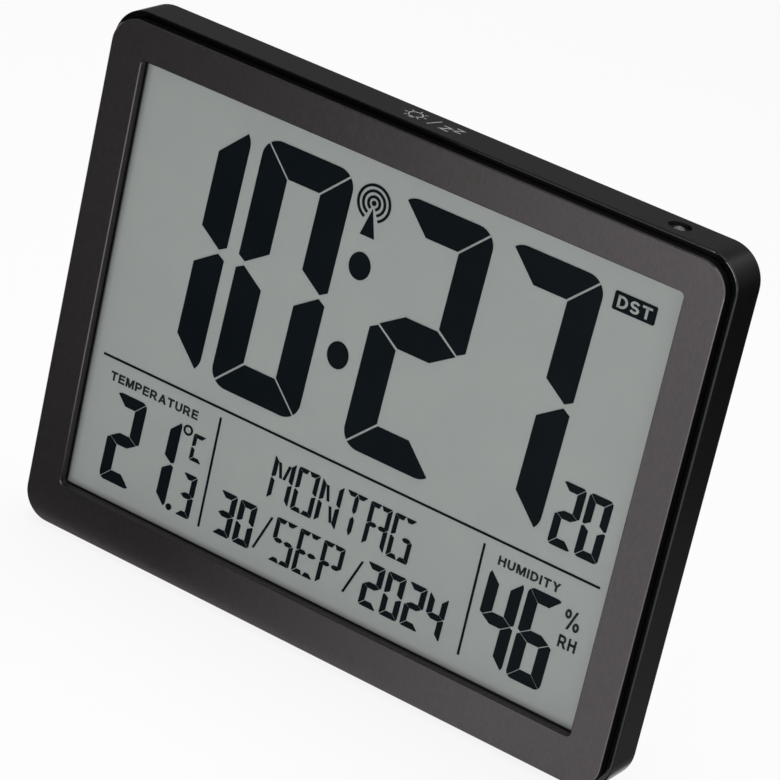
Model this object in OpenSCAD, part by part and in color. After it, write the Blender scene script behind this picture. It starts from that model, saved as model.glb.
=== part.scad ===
// Radio-controlled alarm clock with a large segment display, built piece by piece.
// Millimetres. X runs right across the face, Y runs into the clock, Z is up.
// The origin is under the middle of the clock, on the surface that it stands on.

/* [Window] */
// Width of the display window
win_w = 196.3; // [192:0.1:206]
// Height of the display window
win_h = 146.5; // [144:0.1:152]
// Corner radius of the window
win_r = 1.6; // [1:0.1:3]
// Depth from the face to the display glass
recess = 3.5; // [3:0.1:4]
// Wall of the collar behind the window
collar_t = 1.8; // [1.2:0.1:2.4]

/* [Face] */
// Width of the face beside the window
side_border = 12.35; // [11.8:0.05:16]
// Height of the face above the window
top_border = 12; // [12:0.05:16]
// Height of the face below the window
bottom_border = 14.85; // [12:0.05:18]
// Corner radius of the front face
face_r = 9.5; // [8:0.5:12]
// Thickness of the front face
face_t = 2.2; // [1.6:0.1:2.8]
// Chamfer along the face's outer and window edges
face_chamfer = 0.3; // [0.2:0.1:0.8]
// How far the face stands in front of the rear shell's rim
proud = 3.9; // [3.2:0.1:5]

/* [Shell] */
// Wall of the rear shell and of the face's skirt
wall = 1.9; // [1.5:0.1:2.4]
// Gap between the face's skirt and the shell's mouth
case_gap = 0.2; // [0.1:0.05:0.4]
// Depth of the shell from its rim to its rear wall
shell_d = 15.8; // [14.2:0.1:18]
// Rounding of the shell's front rim
rim_r = 0.5; // [0.4:0.1:1.4]
// Rounding of the shell's rear edges
edge_r = 2; // [1:0.1:3]
// How deep the face's skirt reaches into the shell
skirt_overlap = 3.5; // [2:0.1:3.8]

/* [Rear housing] */
// Width of the raised housing on the back
house_w = 170; // [160:1:190]
// Distance from the row of buttons down to the housing's top edge
house_down = 14; // [13:0.5:15]
// Height of the housing's lower edge above the base
house_low = 4; // [3:0.1:6]
// How far the housing stands out behind the shell
house_d = 9.3; // [9.2:0.1:12]
// Corner radius of the housing
house_r = 8; // [6:0.5:12]

/* [Display stack] */
// How far the display glass reaches beyond the window at each side
glass_lap = 1.85; // [1.5:0.05:2.2]
// How far the display glass reaches below the window
glass_under = 3.4; // [3:0.1:4]
// How far the front glass reaches above the window, with its contact ledge
glass_over = 6.1; // [5.6:0.1:6.4]
// Thickness of each of the two glass sheets
glass_t = 0.7; // [0.5:0.05:0.8]
// Height of the contact ledge at the top of the front glass
ledge_h = 5.6; // [5.2:0.1:5.8]
// Thickness of the reflector films
film_t = 0.3; // [0.2:0.05:0.4]
// Thickness of the light guide
guide_t = 3; // [2:0.1:3.2]
// Thickness of the printed segment layer
segment_t = 0.2; // [0.1:0.05:0.3]
// Thickness of the display holder's walls and back
holder_t = 1.4; // [1:0.1:1.6]
// Play between the display parts and the holder
stack_play = 0.3; // [0.2:0.05:0.5]

/* [Boards] */
// Thickness of every circuit board
board_t = 1.4; // [1:0.1:1.6]
// Width of the main board
board_w = 116; // [112:1:124]
// Height of the main board
board_h = 40.5; // [39:0.5:41]
// Gap between the display holder and the main board
board_gap = 0.8; // [0.6:0.1:1]

/* [Buttons] */
// Diameter of a button
button_d = 9; // [7:0.5:10]
// Distance between neighbouring buttons
button_pitch = 18; // [15:0.5:19]
// Height of the row of buttons above the main board's lower edge
button_up = 12; // [11:0.5:14]
// How far a button stands out of the rear wall
button_out = 1.3; // [0.9:0.1:2]
// Travel of a button
button_travel = 0.7; // [0.4:0.05:0.8]
// Radial gap round a button
button_gap = 0.25; // [0.15:0.05:0.4]

/* [Battery bay] */
// Diameter of a cell
cell_d = 14.2; // [13.5:0.1:14.5]
// Length of a cell with its nub
cell_l = 50.5; // [48:0.1:51]
// Length of the bay between its end walls
bay_l = 59; // [58:0.1:60]
// Space round each cell in the bay
cell_gap = 0.4; // [0.2:0.05:0.5]
// Wall of the bay
bay_wall = 1.5; // [1.2:0.1:1.8]
// Thickness of the battery door
door_t = 1.8; // [1.4:0.1:2.2]
// Gap round the battery door
door_gap = 0.3; // [0.25:0.05:0.5]
// Wire diameter of a contact spring
spring_wire = 0.9; // [0.6:0.05:1]
// Curls of a contact spring
spring_curls = 4; // [3:1:5]

/* [Stand] */
// Width of the fold-out stand
stand_w = 84; // [70:1:90]
// Distance from the battery door's lower edge down to the stand's tip
stand_drop = 9; // [8:0.5:30]
// Thickness of the stand
stand_t = 3.2; // [2.4:0.1:3.8]
// Diameter of the stand's hinge pegs
peg_d = 4; // [3:0.1:5]
// Radial running gap of the hinge pegs
peg_gap = 0.05; // [0.02:0.01:0.1]
// Gap round the folded stand
stand_gap = 0.5; // [0.4:0.05:0.8]
// Height of the hinge above the housing's lower edge
hinge_up = 6; // [5.6:0.1:7]

/* [Hanging] */
// Distance between the two keyholes
keyhole_span = 150; // [140:1:160]
// Distance from the shell's top down to the keyholes' round mouths
keyhole_down = 25.2; // [22:0.1:30]
// Diameter of a keyhole's round mouth
keyhole_d = 8.5; // [7:0.5:10]
// Width of a keyhole's slot
keyhole_slot = 4.4; // [3:0.1:5]

/* [Screws] */
// Shank diameter of the case screws
case_screw_d = 2.6; // [2.2:0.1:3]
// Shank diameter of the small screws
small_screw_d = 1.6; // [1.4:0.1:2]
// Radial gap between a shank and its hole
screw_gap = 0.05; // [0.02:0.01:0.1]

/* [Hidden] */
$fn = 48;

// Overshoot of cuts
cut = 1;

// Case sizes that follow from the window
face_w = win_w + 2 * side_border;
face_h = win_h + bottom_border + top_border;
win_up = (bottom_border - top_border) / 2;
rim = wall + case_gap;
shell_w = face_w + 2 * rim;
shell_h = face_h + 2 * rim;
shell_r = face_r + rim;
back_v = proud + shell_d;
back_in = back_v - wall;
case_d = back_v + house_d;
face_z = shell_h / 2;
win_z = face_z + win_up;
wall_band = 3;
rear_band = edge_r + wall_band;
edge_t = max(wall, edge_r);

// Depths of the display stack, counted from the face
glass_back = recess + 2 * glass_t;
guide_v = glass_back + film_t;
backing_v = guide_v + guide_t;
holder_v = backing_v + film_t;
holder_back = holder_v + holder_t;
board_v = holder_back + board_gap;
board_back = board_v + board_t;

// Display sheets and their holder
glass_w = win_w + 2 * glass_lap;
glass_z0 = win_z - win_h / 2 - glass_under;
glass_top = win_z + win_h / 2 + glass_over;
rear_glass_top = glass_top - ledge_h;
holder_inner_w = glass_w + 2 * stack_play;
holder_w = holder_inner_w + 2 * holder_t;
holder_z0 = glass_z0 - stack_play - holder_t;
holder_z1 = glass_top + stack_play + holder_t;
guide_side = 1.5;
guide_end = 0.5;
guide_w = glass_w - 2 * guide_side;
guide_z0 = glass_z0 + guide_end;
guide_z1 = rear_glass_top - guide_end;
strip_w = 108;
strip_t = 3;
strip_up = 1;
strip_z = rear_glass_top + strip_up;
strip_slot = 0.5;

// Light-emitting diodes along the left edge of the light guide
led_count = 5;
led_size = 2.2;
led_depth = 0.8;
led_board_t = 0.6;

// Screw posts beside the display
post_r = 2.7;
post_clear = 0.3;
post_x = holder_w / 2 + post_clear + post_r;
post_gap = 0.5;
post_v = holder_back + post_gap;
post_from_edge = 8.8;
ear_from_edge = 30;
pilot_floor = 1.2;
case_post_z = [post_from_edge, face_z, shell_h - post_from_edge];
ear_post_z = [ear_from_edge, shell_h - ear_from_edge];
ear_h = 8;
ear_out = 3.5;
tunnel_r = 3.9;
head_r = 2.6;
head_t = 1.8;
head_seat = 2.4;
small_head_r = 1.9;
small_head_t = 1.2;
shank_gap = 3 * screw_gap;
ear_screw_l = 4;
tip_gap = 2;

// Cross slot of a screw, as shares of its head
slot_length = 1.4;
slot_width = 0.28;
slot_floor = 0.45;

// Main board and what sits on it
board_down = 1.2;
board_z1 = holder_z1 - board_down;
board_z0 = board_z1 - board_h;
board_post_in = 6;
board_post_low = 4;
board_post_high = 28;
board_post_x = board_w / 2 - board_post_in;
board_post_z = [board_z0 + board_post_low, board_z0 + board_post_high];
board_post_r = 2.6;
board_post_sink = 0.2;
board_pilot_floor = 0.3;
button_count = 6;
button_z = board_z0 + button_up;
switch_size = 6;
switch_h = 1.6;
plunger_d = 3;
flange_lap = 1.5;
flange_d = button_d + 2 * flange_lap;
flange_t = 0.9;
flange_gap = 0.1;
flange_v = back_in - flange_gap - flange_t;
end_gap = 0.05;
plunger_v = flange_v - button_travel - end_gap;
dish_d = 0.35;
dish_rim = 1.2;
chip_r = 8;
chip_taper = 0.6;
chip_h = 1.6;
chip_up = 13;
chip_z = button_z + chip_up;
crystal_r = 1.5;
crystal_l = 8;
crystal_x = 26;

// Raised housing on the back
house_top = button_z - house_down;
house_inner = case_d - wall;
house_h = house_top - house_low;
house_z = (house_top + house_low) / 2;

// Battery bay at the top of the housing
bay_roof = 2;
bay_top = house_top - wall - bay_roof;
bay_play = 0.5;
bay_z0 = bay_top - 2 * cell_d - 3 * cell_gap - 2 * bay_play;
door_v = case_d - door_t;
cell_v = door_v - cell_gap - cell_d / 2;
cell_rest = 0.1;
bay_floor_v = cell_v - cell_d / 2 - cell_rest;
door_z0 = bay_z0 - bay_wall;
door_lap = 2;
door_w = bay_l + 2 * bay_wall + 2 * door_lap;
tongue_out = 2.6;
tongue_in = 1.6;
tongue_t = 1.1;
tongue_v = case_d - max(wall, door_t) - door_gap - tongue_t;
rail_t = 1.3;
rail_v = tongue_v - door_gap - rail_t;
rail_lap = 1;
rail_out = door_w / 2 + tongue_out + rail_lap;
grip_count = 5;
grip_pitch = 3;
grip_w = 24;
grip_h = 1;
grip_d = 0.6;
grip_up = 6;
plate_t = 0.4;
plate_z = 11;
spring_l = bay_l - 2 * plate_t - cell_l;
spring_big_r = 4.6;
spring_tip_r = 2.8;
spring_rings = 8;
spring_sides = 6;
nub_d = 5.5;
nub_l = 1;

// Stand, folded into a pocket of the housing
hinge_in = 5;
hinge_v = case_d - hinge_in;
barrel_r = 3.6;
hinge_z = house_low + hinge_up;
stand_tip = door_z0 - stand_drop;
pocket_w = stand_w + 2 * stand_gap;
pocket_v = case_d - stand_t - stand_gap;
pocket_top = stand_tip + stand_gap;
pocket_wall = 1.6;
hinge_wall = 2.6;
hinge_pocket_v = hinge_v - barrel_r - stand_gap;
hinge_room = 2;
hinge_pocket_top = hinge_z + barrel_r + hinge_room;
notch_w = 24;
notch_h = 4;
notch_d = 3;
relief_side = 8;
relief_low = 12;
relief_high = 10;

// Places beside the stand and beside the battery bay
beside_stand = (pocket_w / 2 + hinge_wall + house_w / 2 - wall) / 2;
beside_bay = (rail_out + house_w / 2 - wall) / 2;
beside_stand_up = 42;
beside_stand_z = house_low + beside_stand_up;
beside_bay_z = (bay_z0 + bay_top) / 2;

// Buzzer, receiver board and sensor board
sound_hole_d = 2;
sound_ring_r = 5;
buzzer_r = 12;
buzzer_t = 4;
buzzer_wall = 1.2;
buzzer_front = 1;
vent_count = 6;
vent_pitch = 4;
vent_w = 1.6;
vent_h = 14;
side_board_w = 30;
side_board_h = 18;
side_post_h = 2;
side_post_r = 2;
side_post_in = 3;
side_board_v = house_inner - side_post_h - board_t;
receiver_chip_size = [8, 1.5, 6];
sensor_size = [6, 1.3, 6];

// Receiver antenna
rod_r = 4;
rod_l = 62;
rod_in = 7.5;
rod_v = house_inner - rod_in;
coil_r = 5.8;
coil_l = 28;
clip_w = 13;
clip_t = 5;
clip_from_end = 6;
clip_grip = 0.5;

// Light sensor in the top wall and touch foil under it
eye_in = 26;
eye_back = 7.2;
eye_x = shell_w / 2 - eye_in;
eye_v = proud + eye_back;
eye_dish_r = 3.6;
eye_hole_r = 2.2;
eye_dish_d = 1.2;
eye_gap = 0.2;
eye_r = eye_hole_r - eye_gap;
eye_flange_r = 2.6;
eye_flange_t = 1;
eye_body_l = 2.6;
eye_sunk = 0.1;
eye_dome_h = 1.2;
eye_dome_r = (eye_r * eye_r + eye_dome_h * eye_dome_h) / (2 * eye_dome_h);
top_in = shell_h - wall;
foil_w = 28;
foil_d = 7.5;
foil_v = 8.4;
foil_t = 0.2;
foil_tail = 4;
foil_tail_l = 3;

// Segment characters: shares of the stroke at the joint of the upper and lower halves
seg_tip = 0.25;
seg_shoulder = 0.21;
seg_inner = 0.58;
mid_tip = 0.28;
mid_corner = 1.04;
seg_lean = 0.027;
half_tip = 0.15;
half_corner = 0.7;
centre_tip = 0.3;
centre_corner = 1.3;
centre_foot = 0.3;
slant_tip = 1.15;
slant_half = 0.33;
slant_from = 1.4;
slant_to = 0.4;
slant_low = 0.45;
slash_t = 0.8;
slash_w = 4.7;
slash_h = 12.6;
colon_w = 7.8;
colon_h = 9;
divider_t = 0.75;
divider_z = -24.25;
divider_w = 187.4;
pane_lines = [-45.9, 53.8];
pane_line_z = [-65.6, -27.2];

// Window that the segments are drawn for
drawn_for = [196.3, 146.5];
drawn_up = 1;
drawn_scale = min(win_w / drawn_for[0], win_h / drawn_for[1]);

// Moves a piece drawn with its depth counted from the face into the clock's frame
module clock() {
    translate([0, -case_d / 2, 0]) children();
}

// Extrudes a drawing in X and Z from depth v over a depth d
module slab(v, d) {
    translate([0, v + d, 0]) rotate([90, 0, 0]) linear_extrude(d) children();
}

// A box from its lowest corner to its highest
module box(low, high) {
    translate(low) cube(high - low);
}

// A round bar along the depth
module bar(x, v, z, r, d) {
    translate([x, v, z]) rotate([-90, 0, 0]) cylinder(r = r, h = d);
}

// Rounded rectangle about the middle
module rounded(w, h, r) {
    square([w - 2 * r, h], center = true);
    square([w, h - 2 * r], center = true);
    for (sx = [-1, 1], sz = [-1, 1])
        translate([sx * (w / 2 - r), sz * (h / 2 - r)]) circle(r);
}

// Carries a wall section round a rounded rectangle. The section's first axis
// points outwards from the corner's centre and its second axis is the depth.
module ring(w, h, r) {
    for (k = [0:3]) {
        out = (k % 2 == 0 ? w : h) / 2 - r;
        along = (k % 2 == 0 ? h : w) / 2 - r;
        rotate([0, 90 * k, 0]) translate([out, 0, -along]) {
            linear_extrude(2 * along) children();
            rotate([-90, 0, 0]) rotate_extrude(angle = 90) children();
        }
    }
}

// Quarter of a disc that fills one quadrant
module quarter(r, sx, sy) {
    intersection() {
        circle(r);
        translate([sx < 0 ? -r : 0, sy < 0 ? -r : 0]) square(r);
    }
}

// Case

module skirt_section() {
    depth = proud + skirt_overlap;
    polygon([
        [face_r - wall, 0], [face_r - face_chamfer, 0], [face_r, face_chamfer],
        [face_r, depth], [face_r - wall, depth]
    ]);
}

module window_section() {
    out = win_r + collar_t;
    polygon([
        [win_r + face_chamfer, 0], [out, 0], [out, recess], [win_r, recess], [win_r, face_chamfer]
    ]);
}

module front_bezel() color([0.27, 0.26, 0.26]) clock() {
    collar_r = win_r + collar_t;
    translate([0, 0, face_z]) ring(face_w, face_h, face_r) skirt_section();
    translate([0, 0, win_z]) ring(win_w, win_h, win_r) window_section();
    slab(0, face_t) difference() {
        translate([0, face_z]) rounded(face_w - 2 * wall, face_h - 2 * wall, face_r - wall);
        translate([0, win_z]) rounded(win_w + 2 * collar_t, win_h + 2 * collar_t, collar_r);
    }
    for (sx = [-1, 1]) {
        for (z = case_post_z) screw_post(sx * post_x, z, post_v, case_screw_d / 2 + screw_gap);
        for (z = ear_post_z) screw_post(sx * post_x, z, holder_v, small_screw_d / 2 + screw_gap);
    }
}

module screw_post(x, z, top, pilot_r) {
    difference() {
        bar(x, face_t, z, post_r, top - face_t);
        bar(x, face_t + pilot_floor, z, pilot_r, top);
    }
}

module shell_section() {
    translate([shell_r - wall, proud + rim_r]) square([wall, shell_d - rim_r - edge_r]);
    translate([shell_r - wall, proud]) square([wall - rim_r, rim_r]);
    translate([shell_r - rim_r, proud + rim_r]) quarter(rim_r, 1, -1);
    rear_edge_section(shell_r, back_v, rear_band);
}

// Rounded rear edge with a band of rear wall
module rear_edge_section(r, back, band) {
    translate([r - edge_r, back - edge_r]) quarter(edge_r, 1, 1);
    translate([r - band, back - edge_t]) square([band - edge_r, edge_t]);
}

module house_section() {
    low = back_v - wall / 2;
    translate([house_r - wall, low]) square([wall, case_d - edge_r - low]);
    rear_edge_section(house_r, case_d, rear_band);
}

module house_outline(inset) {
    translate([0, house_z])
        rounded(house_w - 2 * inset, house_h - 2 * inset, house_r - inset);
}

module rear_shell() color([0.07, 0.07, 0.075]) clock() difference() {
    union() {
        shell_walls();
        housing_walls();
        bay_walls();
        stand_walls();
        screw_tunnels();
        side_posts();
    }
    bay_cuts();
    stand_cuts();
    tunnel_cuts();
    button_holes();
    keyholes();
    sound_holes();
    vents();
    eye_cut();
}

module shell_walls() {
    translate([0, 0, face_z]) ring(shell_w, shell_h, shell_r) shell_section();
    slab(back_v - wall, wall) difference() {
        translate([0, face_z])
            rounded(shell_w - 2 * rear_band, shell_h - 2 * rear_band, shell_r - rear_band);
        house_outline(wall / 2);
    }
}

module housing_walls() {
    translate([0, 0, house_z]) ring(house_w, house_h, house_r) house_section();
    slab(case_d - wall, wall) house_outline(rear_band);
}

module bay_walls() {
    out = bay_l / 2 + bay_wall;
    box([-out, bay_floor_v - bay_wall, door_z0], [out, rail_v + rail_t, house_top - wall / 2]);
    for (sx = [-1, 1]) mirror([sx < 0 ? 1 : 0, 0, 0])
        box([out - cut, rail_v, door_z0], [rail_out, rail_v + rail_t, house_top - wall / 2]);
}

module bay_cuts() {
    half = bay_l / 2;
    open_w = door_w / 2 + door_gap;
    slot_w = door_w / 2 + tongue_out + door_gap;
    box([-half, bay_floor_v, bay_z0], [half, case_d + cut, bay_top]);
    box([-open_w, tongue_v - door_gap, door_z0 - door_gap], [open_w, case_d + cut, house_top + cut]);
    box([-slot_w, tongue_v - door_gap, bay_top - cut],
        [slot_w, tongue_v + tongue_t + door_gap, house_top + cut]);
}

module stand_walls() {
    out = pocket_w / 2 + hinge_wall;
    box([-out, pocket_v - pocket_wall, house_low + wall / 2],
        [out, case_d - wall / 2, pocket_top + pocket_wall]);
    box([-out, hinge_pocket_v - pocket_wall, house_low + wall / 2],
        [out, case_d - wall / 2, hinge_pocket_top + pocket_wall]);
}

module stand_cuts() {
    half = pocket_w / 2;
    box([-half, pocket_v, house_low - cut], [half, case_d + cut, pocket_top]);
    box([-half, hinge_pocket_v, house_low - cut], [half, case_d + cut, hinge_pocket_top]);
    box([-notch_w / 2, case_d - notch_d, pocket_top - cut],
        [notch_w / 2, case_d + cut, pocket_top + notch_h]);
    translate([-half - hinge_wall - cut, hinge_v, hinge_z]) rotate([0, 90, 0])
        cylinder(d = peg_d + 2 * peg_gap, h = pocket_w + 2 * hinge_wall + 2 * cut);
}

module screw_tunnels() {
    for (sx = [-1, 1], z = case_post_z)
        bar(sx * post_x, post_v, z, tunnel_r, back_v - wall / 2 - post_v);
}

module tunnel_cuts() {
    for (sx = [-1, 1], z = case_post_z) {
        bar(sx * post_x, post_v - cut, z, case_screw_d / 2 + shank_gap, head_seat + 2 * cut);
        bar(sx * post_x, post_v + head_seat, z, head_r + shank_gap, case_d);
    }
}

module side_posts() {
    for (sx = [-1, 1], dx = [-1, 1], dz = [-1, 1])
        bar(sx * beside_bay + dx * (side_board_w / 2 - side_post_in), house_inner - side_post_h,
            beside_bay_z + dz * (side_board_h / 2 - side_post_in), side_post_r, side_post_h + wall / 2);
}

function button_x(i) = (i - (button_count - 1) / 2) * button_pitch;

module button_holes() {
    for (i = [0:button_count - 1])
        bar(button_x(i), back_in - cut, button_z, button_d / 2 + button_gap, wall + 2 * cut);
}

module keyholes() {
    z = shell_h - keyhole_down;
    for (sx = [-1, 1]) {
        x = sx * keyhole_span / 2;
        bar(x, back_in - cut, z, keyhole_d / 2, wall + 2 * cut);
        bar(x, back_in - cut, z + keyhole_d, keyhole_slot / 2, wall + 2 * cut);
        box([x - keyhole_slot / 2, back_in - cut, z], [x + keyhole_slot / 2, back_v + cut, z + keyhole_d]);
    }
}

module sound_holes() {
    depth = wall + 2 * cut;
    bar(beside_stand, house_inner - cut, beside_stand_z, sound_hole_d / 2, depth);
    for (a = [0:60:300])
        bar(beside_stand + sound_ring_r * cos(a), house_inner - cut, beside_stand_z + sound_ring_r * sin(a),
            sound_hole_d / 2, depth);
}

module vents() {
    for (i = [0:vent_count - 1]) {
        x = beside_bay + (i - (vent_count - 1) / 2) * vent_pitch;
        box([x - vent_w / 2, house_inner - cut, beside_bay_z - vent_h / 2],
            [x + vent_w / 2, case_d + cut, beside_bay_z + vent_h / 2]);
    }
}

module eye_cut() {
    translate([eye_x, eye_v, shell_h - eye_dish_d])
        cylinder(r = eye_dish_r, h = eye_dish_d + cut);
    translate([eye_x, eye_v, top_in - cut]) cylinder(r = eye_hole_r, h = wall + cut);
}

// Display

module lcd_glass() color([0.56, 0.58, 0.56]) clock() {
    box([-glass_w / 2, recess, glass_z0], [glass_w / 2, recess + glass_t, glass_top]);
    box([-glass_w / 2, recess + glass_t, glass_z0], [glass_w / 2, glass_back, rear_glass_top]);
}

module transflector_film() color([0.75, 0.76, 0.74]) clock()
    box([-glass_w / 2, glass_back, glass_z0], [glass_w / 2, guide_v, rear_glass_top]);

module light_guide() color([0.9, 0.93, 0.95]) clock()
    box([-guide_w / 2, guide_v, guide_z0], [guide_w / 2, backing_v, guide_z1]);

module backing_film() color("white") clock()
    box([-guide_w / 2, backing_v, guide_z0], [guide_w / 2, holder_v, guide_z1]);

module led_board() color([0.1, 0.35, 0.2]) clock() {
    x = -guide_w / 2 - led_depth;
    box([x - led_board_t, guide_v, guide_z0], [x, backing_v, guide_z1]);
}

module leds() color("white") clock() {
    pitch = (guide_z1 - guide_z0) / led_count;
    v = (guide_v + backing_v - led_size) / 2;
    for (i = [0:led_count - 1])
        translate([-guide_w / 2 - led_depth, v, guide_z0 + pitch * (i + 0.5)])
            cube([led_depth, led_size, led_size]);
}

module lcd_holder() color([0.9, 0.9, 0.88]) clock() difference() {
    union() {
        holder_tray();
        for (sx = [-1, 1], z = ear_post_z) mirror([sx < 0 ? 1 : 0, 0, 0])
            box([holder_inner_w / 2, holder_v, z - ear_h / 2],
                [post_x + ear_out, holder_back, z + ear_h / 2]);
        for (sx = [-1, 1], z = board_post_z)
            bar(sx * board_post_x, holder_back - board_post_sink, z,
                board_post_r, board_gap + board_post_sink);
    }
    box([-strip_w / 2 - strip_slot, holder_v - cut, strip_z - strip_slot],
        [strip_w / 2 + strip_slot, board_v, strip_z + strip_t + strip_slot]);
    for (sx = [-1, 1], z = ear_post_z)
        bar(sx * post_x, holder_v - cut, z, small_screw_d / 2 + shank_gap, holder_t + 2 * cut);
    for (sx = [-1, 1], z = board_post_z)
        bar(sx * board_post_x, holder_v + board_pilot_floor, z, small_screw_d / 2 + screw_gap, board_v);
}

// Tray that the display sheets lie in
module holder_tray() {
    half = holder_w / 2;
    inner = holder_inner_w / 2;
    difference() {
        box([-half, recess + glass_t, holder_z0], [half, holder_back, holder_z1]);
        box([-inner, recess - cut, holder_z0 + holder_t], [inner, holder_v, holder_z1 - holder_t]);
    }
}

module contact_strip() color([0.2, 0.22, 0.25]) clock()
    box([-strip_w / 2, recess + glass_t, strip_z], [strip_w / 2, board_v, strip_z + strip_t]);

// Segment characters, drawn in X and Z from the character's lower left corner

function arc(c, r, from, to) = [
    for (i = [0:4]) let (a = from + (to - from) * i / 4) [c[0] + r * cos(a), c[1] + r * sin(a)]
];
function flip_x(p, w) = [for (q = p) [w - q[0], q[1]]];
function flip_z(p, h) = [for (q = p) [q[0], h - q[1]]];
function lean(p) = [for (q = p) [q[0] + q[1] * seg_lean, q[1]]];

// Top bar and upper left stroke, with corners rounded by r and a gap of 2g along the mitre
function top_bar(w, h, t, r, g) = let (s = g * sqrt(2), d = asin(g / r)) concat(
    arc([r, h - r], r, 135 - d, 90), arc([w - r, h - r], r, 90, 45 + d),
    [[w - t - s, h - t], [t + s, h - t]]);
function left_stroke(w, h, t, r, g) = let (s = g * sqrt(2), d = asin(g / r)) concat(
    arc([r, h - r], r, 180, 135 + d),
    [[t, h - t - s], [t, h / 2 + seg_inner * t], [seg_tip * t, h / 2 + 2 * g],
     [0, h / 2 + seg_shoulder * t]]);
function middle_bar(x0, x1, h, t) = [
    [x0 + mid_tip * t, h / 2], [x0 + mid_corner * t, (h + t) / 2], [x1 - mid_corner * t, (h + t) / 2],
    [x1 - mid_tip * t, h / 2], [x1 - mid_corner * t, (h - t) / 2], [x0 + mid_corner * t, (h - t) / 2]
];

function stroke7(s, w, h, t, r, g) =
    s == "a" ? top_bar(w, h, t, r, g) :
    s == "b" ? flip_x(left_stroke(w, h, t, r, g), w) :
    s == "c" ? flip_z(flip_x(left_stroke(w, h, t, r, g), w), h) :
    s == "d" ? flip_z(top_bar(w, h, t, r, g), h) :
    s == "e" ? flip_z(left_stroke(w, h, t, r, g), h) :
    s == "f" ? left_stroke(w, h, t, r, g) :
    middle_bar(0, w, h, t);

function strokes_of(digit) =
    digit == "0" ? "abcdef" : digit == "1" ? "bc" : digit == "2" ? "abged" :
    digit == "3" ? "abgcd" : digit == "4" ? "fgbc" : digit == "6" ? "afedcg" :
    digit == "7" ? "abc" : digit == "C" ? "afed" : "abcdefg";

// Seven-segment number: digits of width w and height h at a pitch, from x0 and z0
module number7(digits, x0, z0, w, h, t, r, g, pitch) {
    for (i = [0:len(digits) - 1], s = strokes_of(digits[i]))
        translate([x0 + i * pitch, z0]) polygon(lean(stroke7(s, w, h, t, r, g)));
}

// Strokes that only the letter characters have
function half_bar(w, h, t, r, g) = let (s = g * sqrt(2), d = asin(g / r)) concat(
    arc([r, h - r], r, 135 - d, 90), [[w / 2 - g, h], [w / 2 - g - t / 2, h - t], [t + s, h - t]]);
function half_middle(w, h, t) = [
    [mid_tip * t, h / 2], [t, (h + t) / 2], [w / 2 - half_corner * t, (h + t) / 2],
    [w / 2 - half_tip * t, h / 2], [w / 2 - half_corner * t, (h - t) / 2], [t, (h - t) / 2]
];
function centre_stroke(w, h, t) = [
    [(w - t) / 2, h - centre_corner * t], [w / 2, h - centre_tip * t], [(w + t) / 2, h - centre_corner * t],
    [(w + t) / 2, h / 2 + t], [w / 2, h / 2 + centre_foot * t], [(w - t) / 2, h / 2 + t]
];
function slant_stroke(w, h, t) = let (
    e = slant_half * t, top = h - slant_tip * t, low = h / 2 + slant_low * t,
    x0 = slant_from * t, x1 = w / 2 - slant_to * t
) [[x0 - e, top], [x0 + e, top], [x1 + e, low], [x1 - e, low]];

function stroke14(s, w, h, t, r, g) =
    s == "a" ? half_bar(w, h, t, r, g) :
    s == "b" ? flip_x(half_bar(w, h, t, r, g), w) :
    s == "c" ? flip_x(left_stroke(w, h, t, r, g), w) :
    s == "d" ? flip_z(flip_x(left_stroke(w, h, t, r, g), w), h) :
    s == "e" ? flip_z(flip_x(half_bar(w, h, t, r, g), w), h) :
    s == "f" ? flip_z(half_bar(w, h, t, r, g), h) :
    s == "g" ? flip_z(left_stroke(w, h, t, r, g), h) :
    s == "h" ? left_stroke(w, h, t, r, g) :
    s == "i" ? half_middle(w, h, t) :
    s == "j" ? flip_x(half_middle(w, h, t), w) :
    s == "k" ? centre_stroke(w, h, t) :
    s == "l" ? flip_z(centre_stroke(w, h, t), h) :
    s == "m" ? slant_stroke(w, h, t) :
    s == "n" ? flip_x(slant_stroke(w, h, t), w) :
    flip_z(flip_x(slant_stroke(w, h, t), w), h);

function strokes_of_letter(c) =
    c == "M" ? "cdghmn" : c == "O" ? "abcdefgh" : c == "N" ? "cdghmo" : c == "T" ? "abkl" :
    c == "A" ? "abcdghij" : c == "G" ? "abdefghj" : c == "S" ? "abhijdef" :
    c == "E" ? "abefghij" : "abcghij";

module word14(letters, x0, z0, w, h, t, r, g, pitch) {
    for (i = [0:len(letters) - 1], s = strokes_of_letter(letters[i]))
        translate([x0 + i * pitch, z0]) polygon(lean(stroke14(s, w, h, t, r, g)));
}

// A thin slash whose foot is at x and z
module slash(x, z) {
    polygon([
        [x, z], [x + slash_t, z], [x + slash_w + slash_t, z + slash_h], [x + slash_w, z + slash_h]
    ]);
}

// A dot of the colon, a little taller than wide
module colon_dot(x, z) {
    polygon([
        for (a = [0:15:345]) [x + colon_w / 2 * cos(a), z + colon_h / 2 * sin(a)]
    ]);
}

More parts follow.
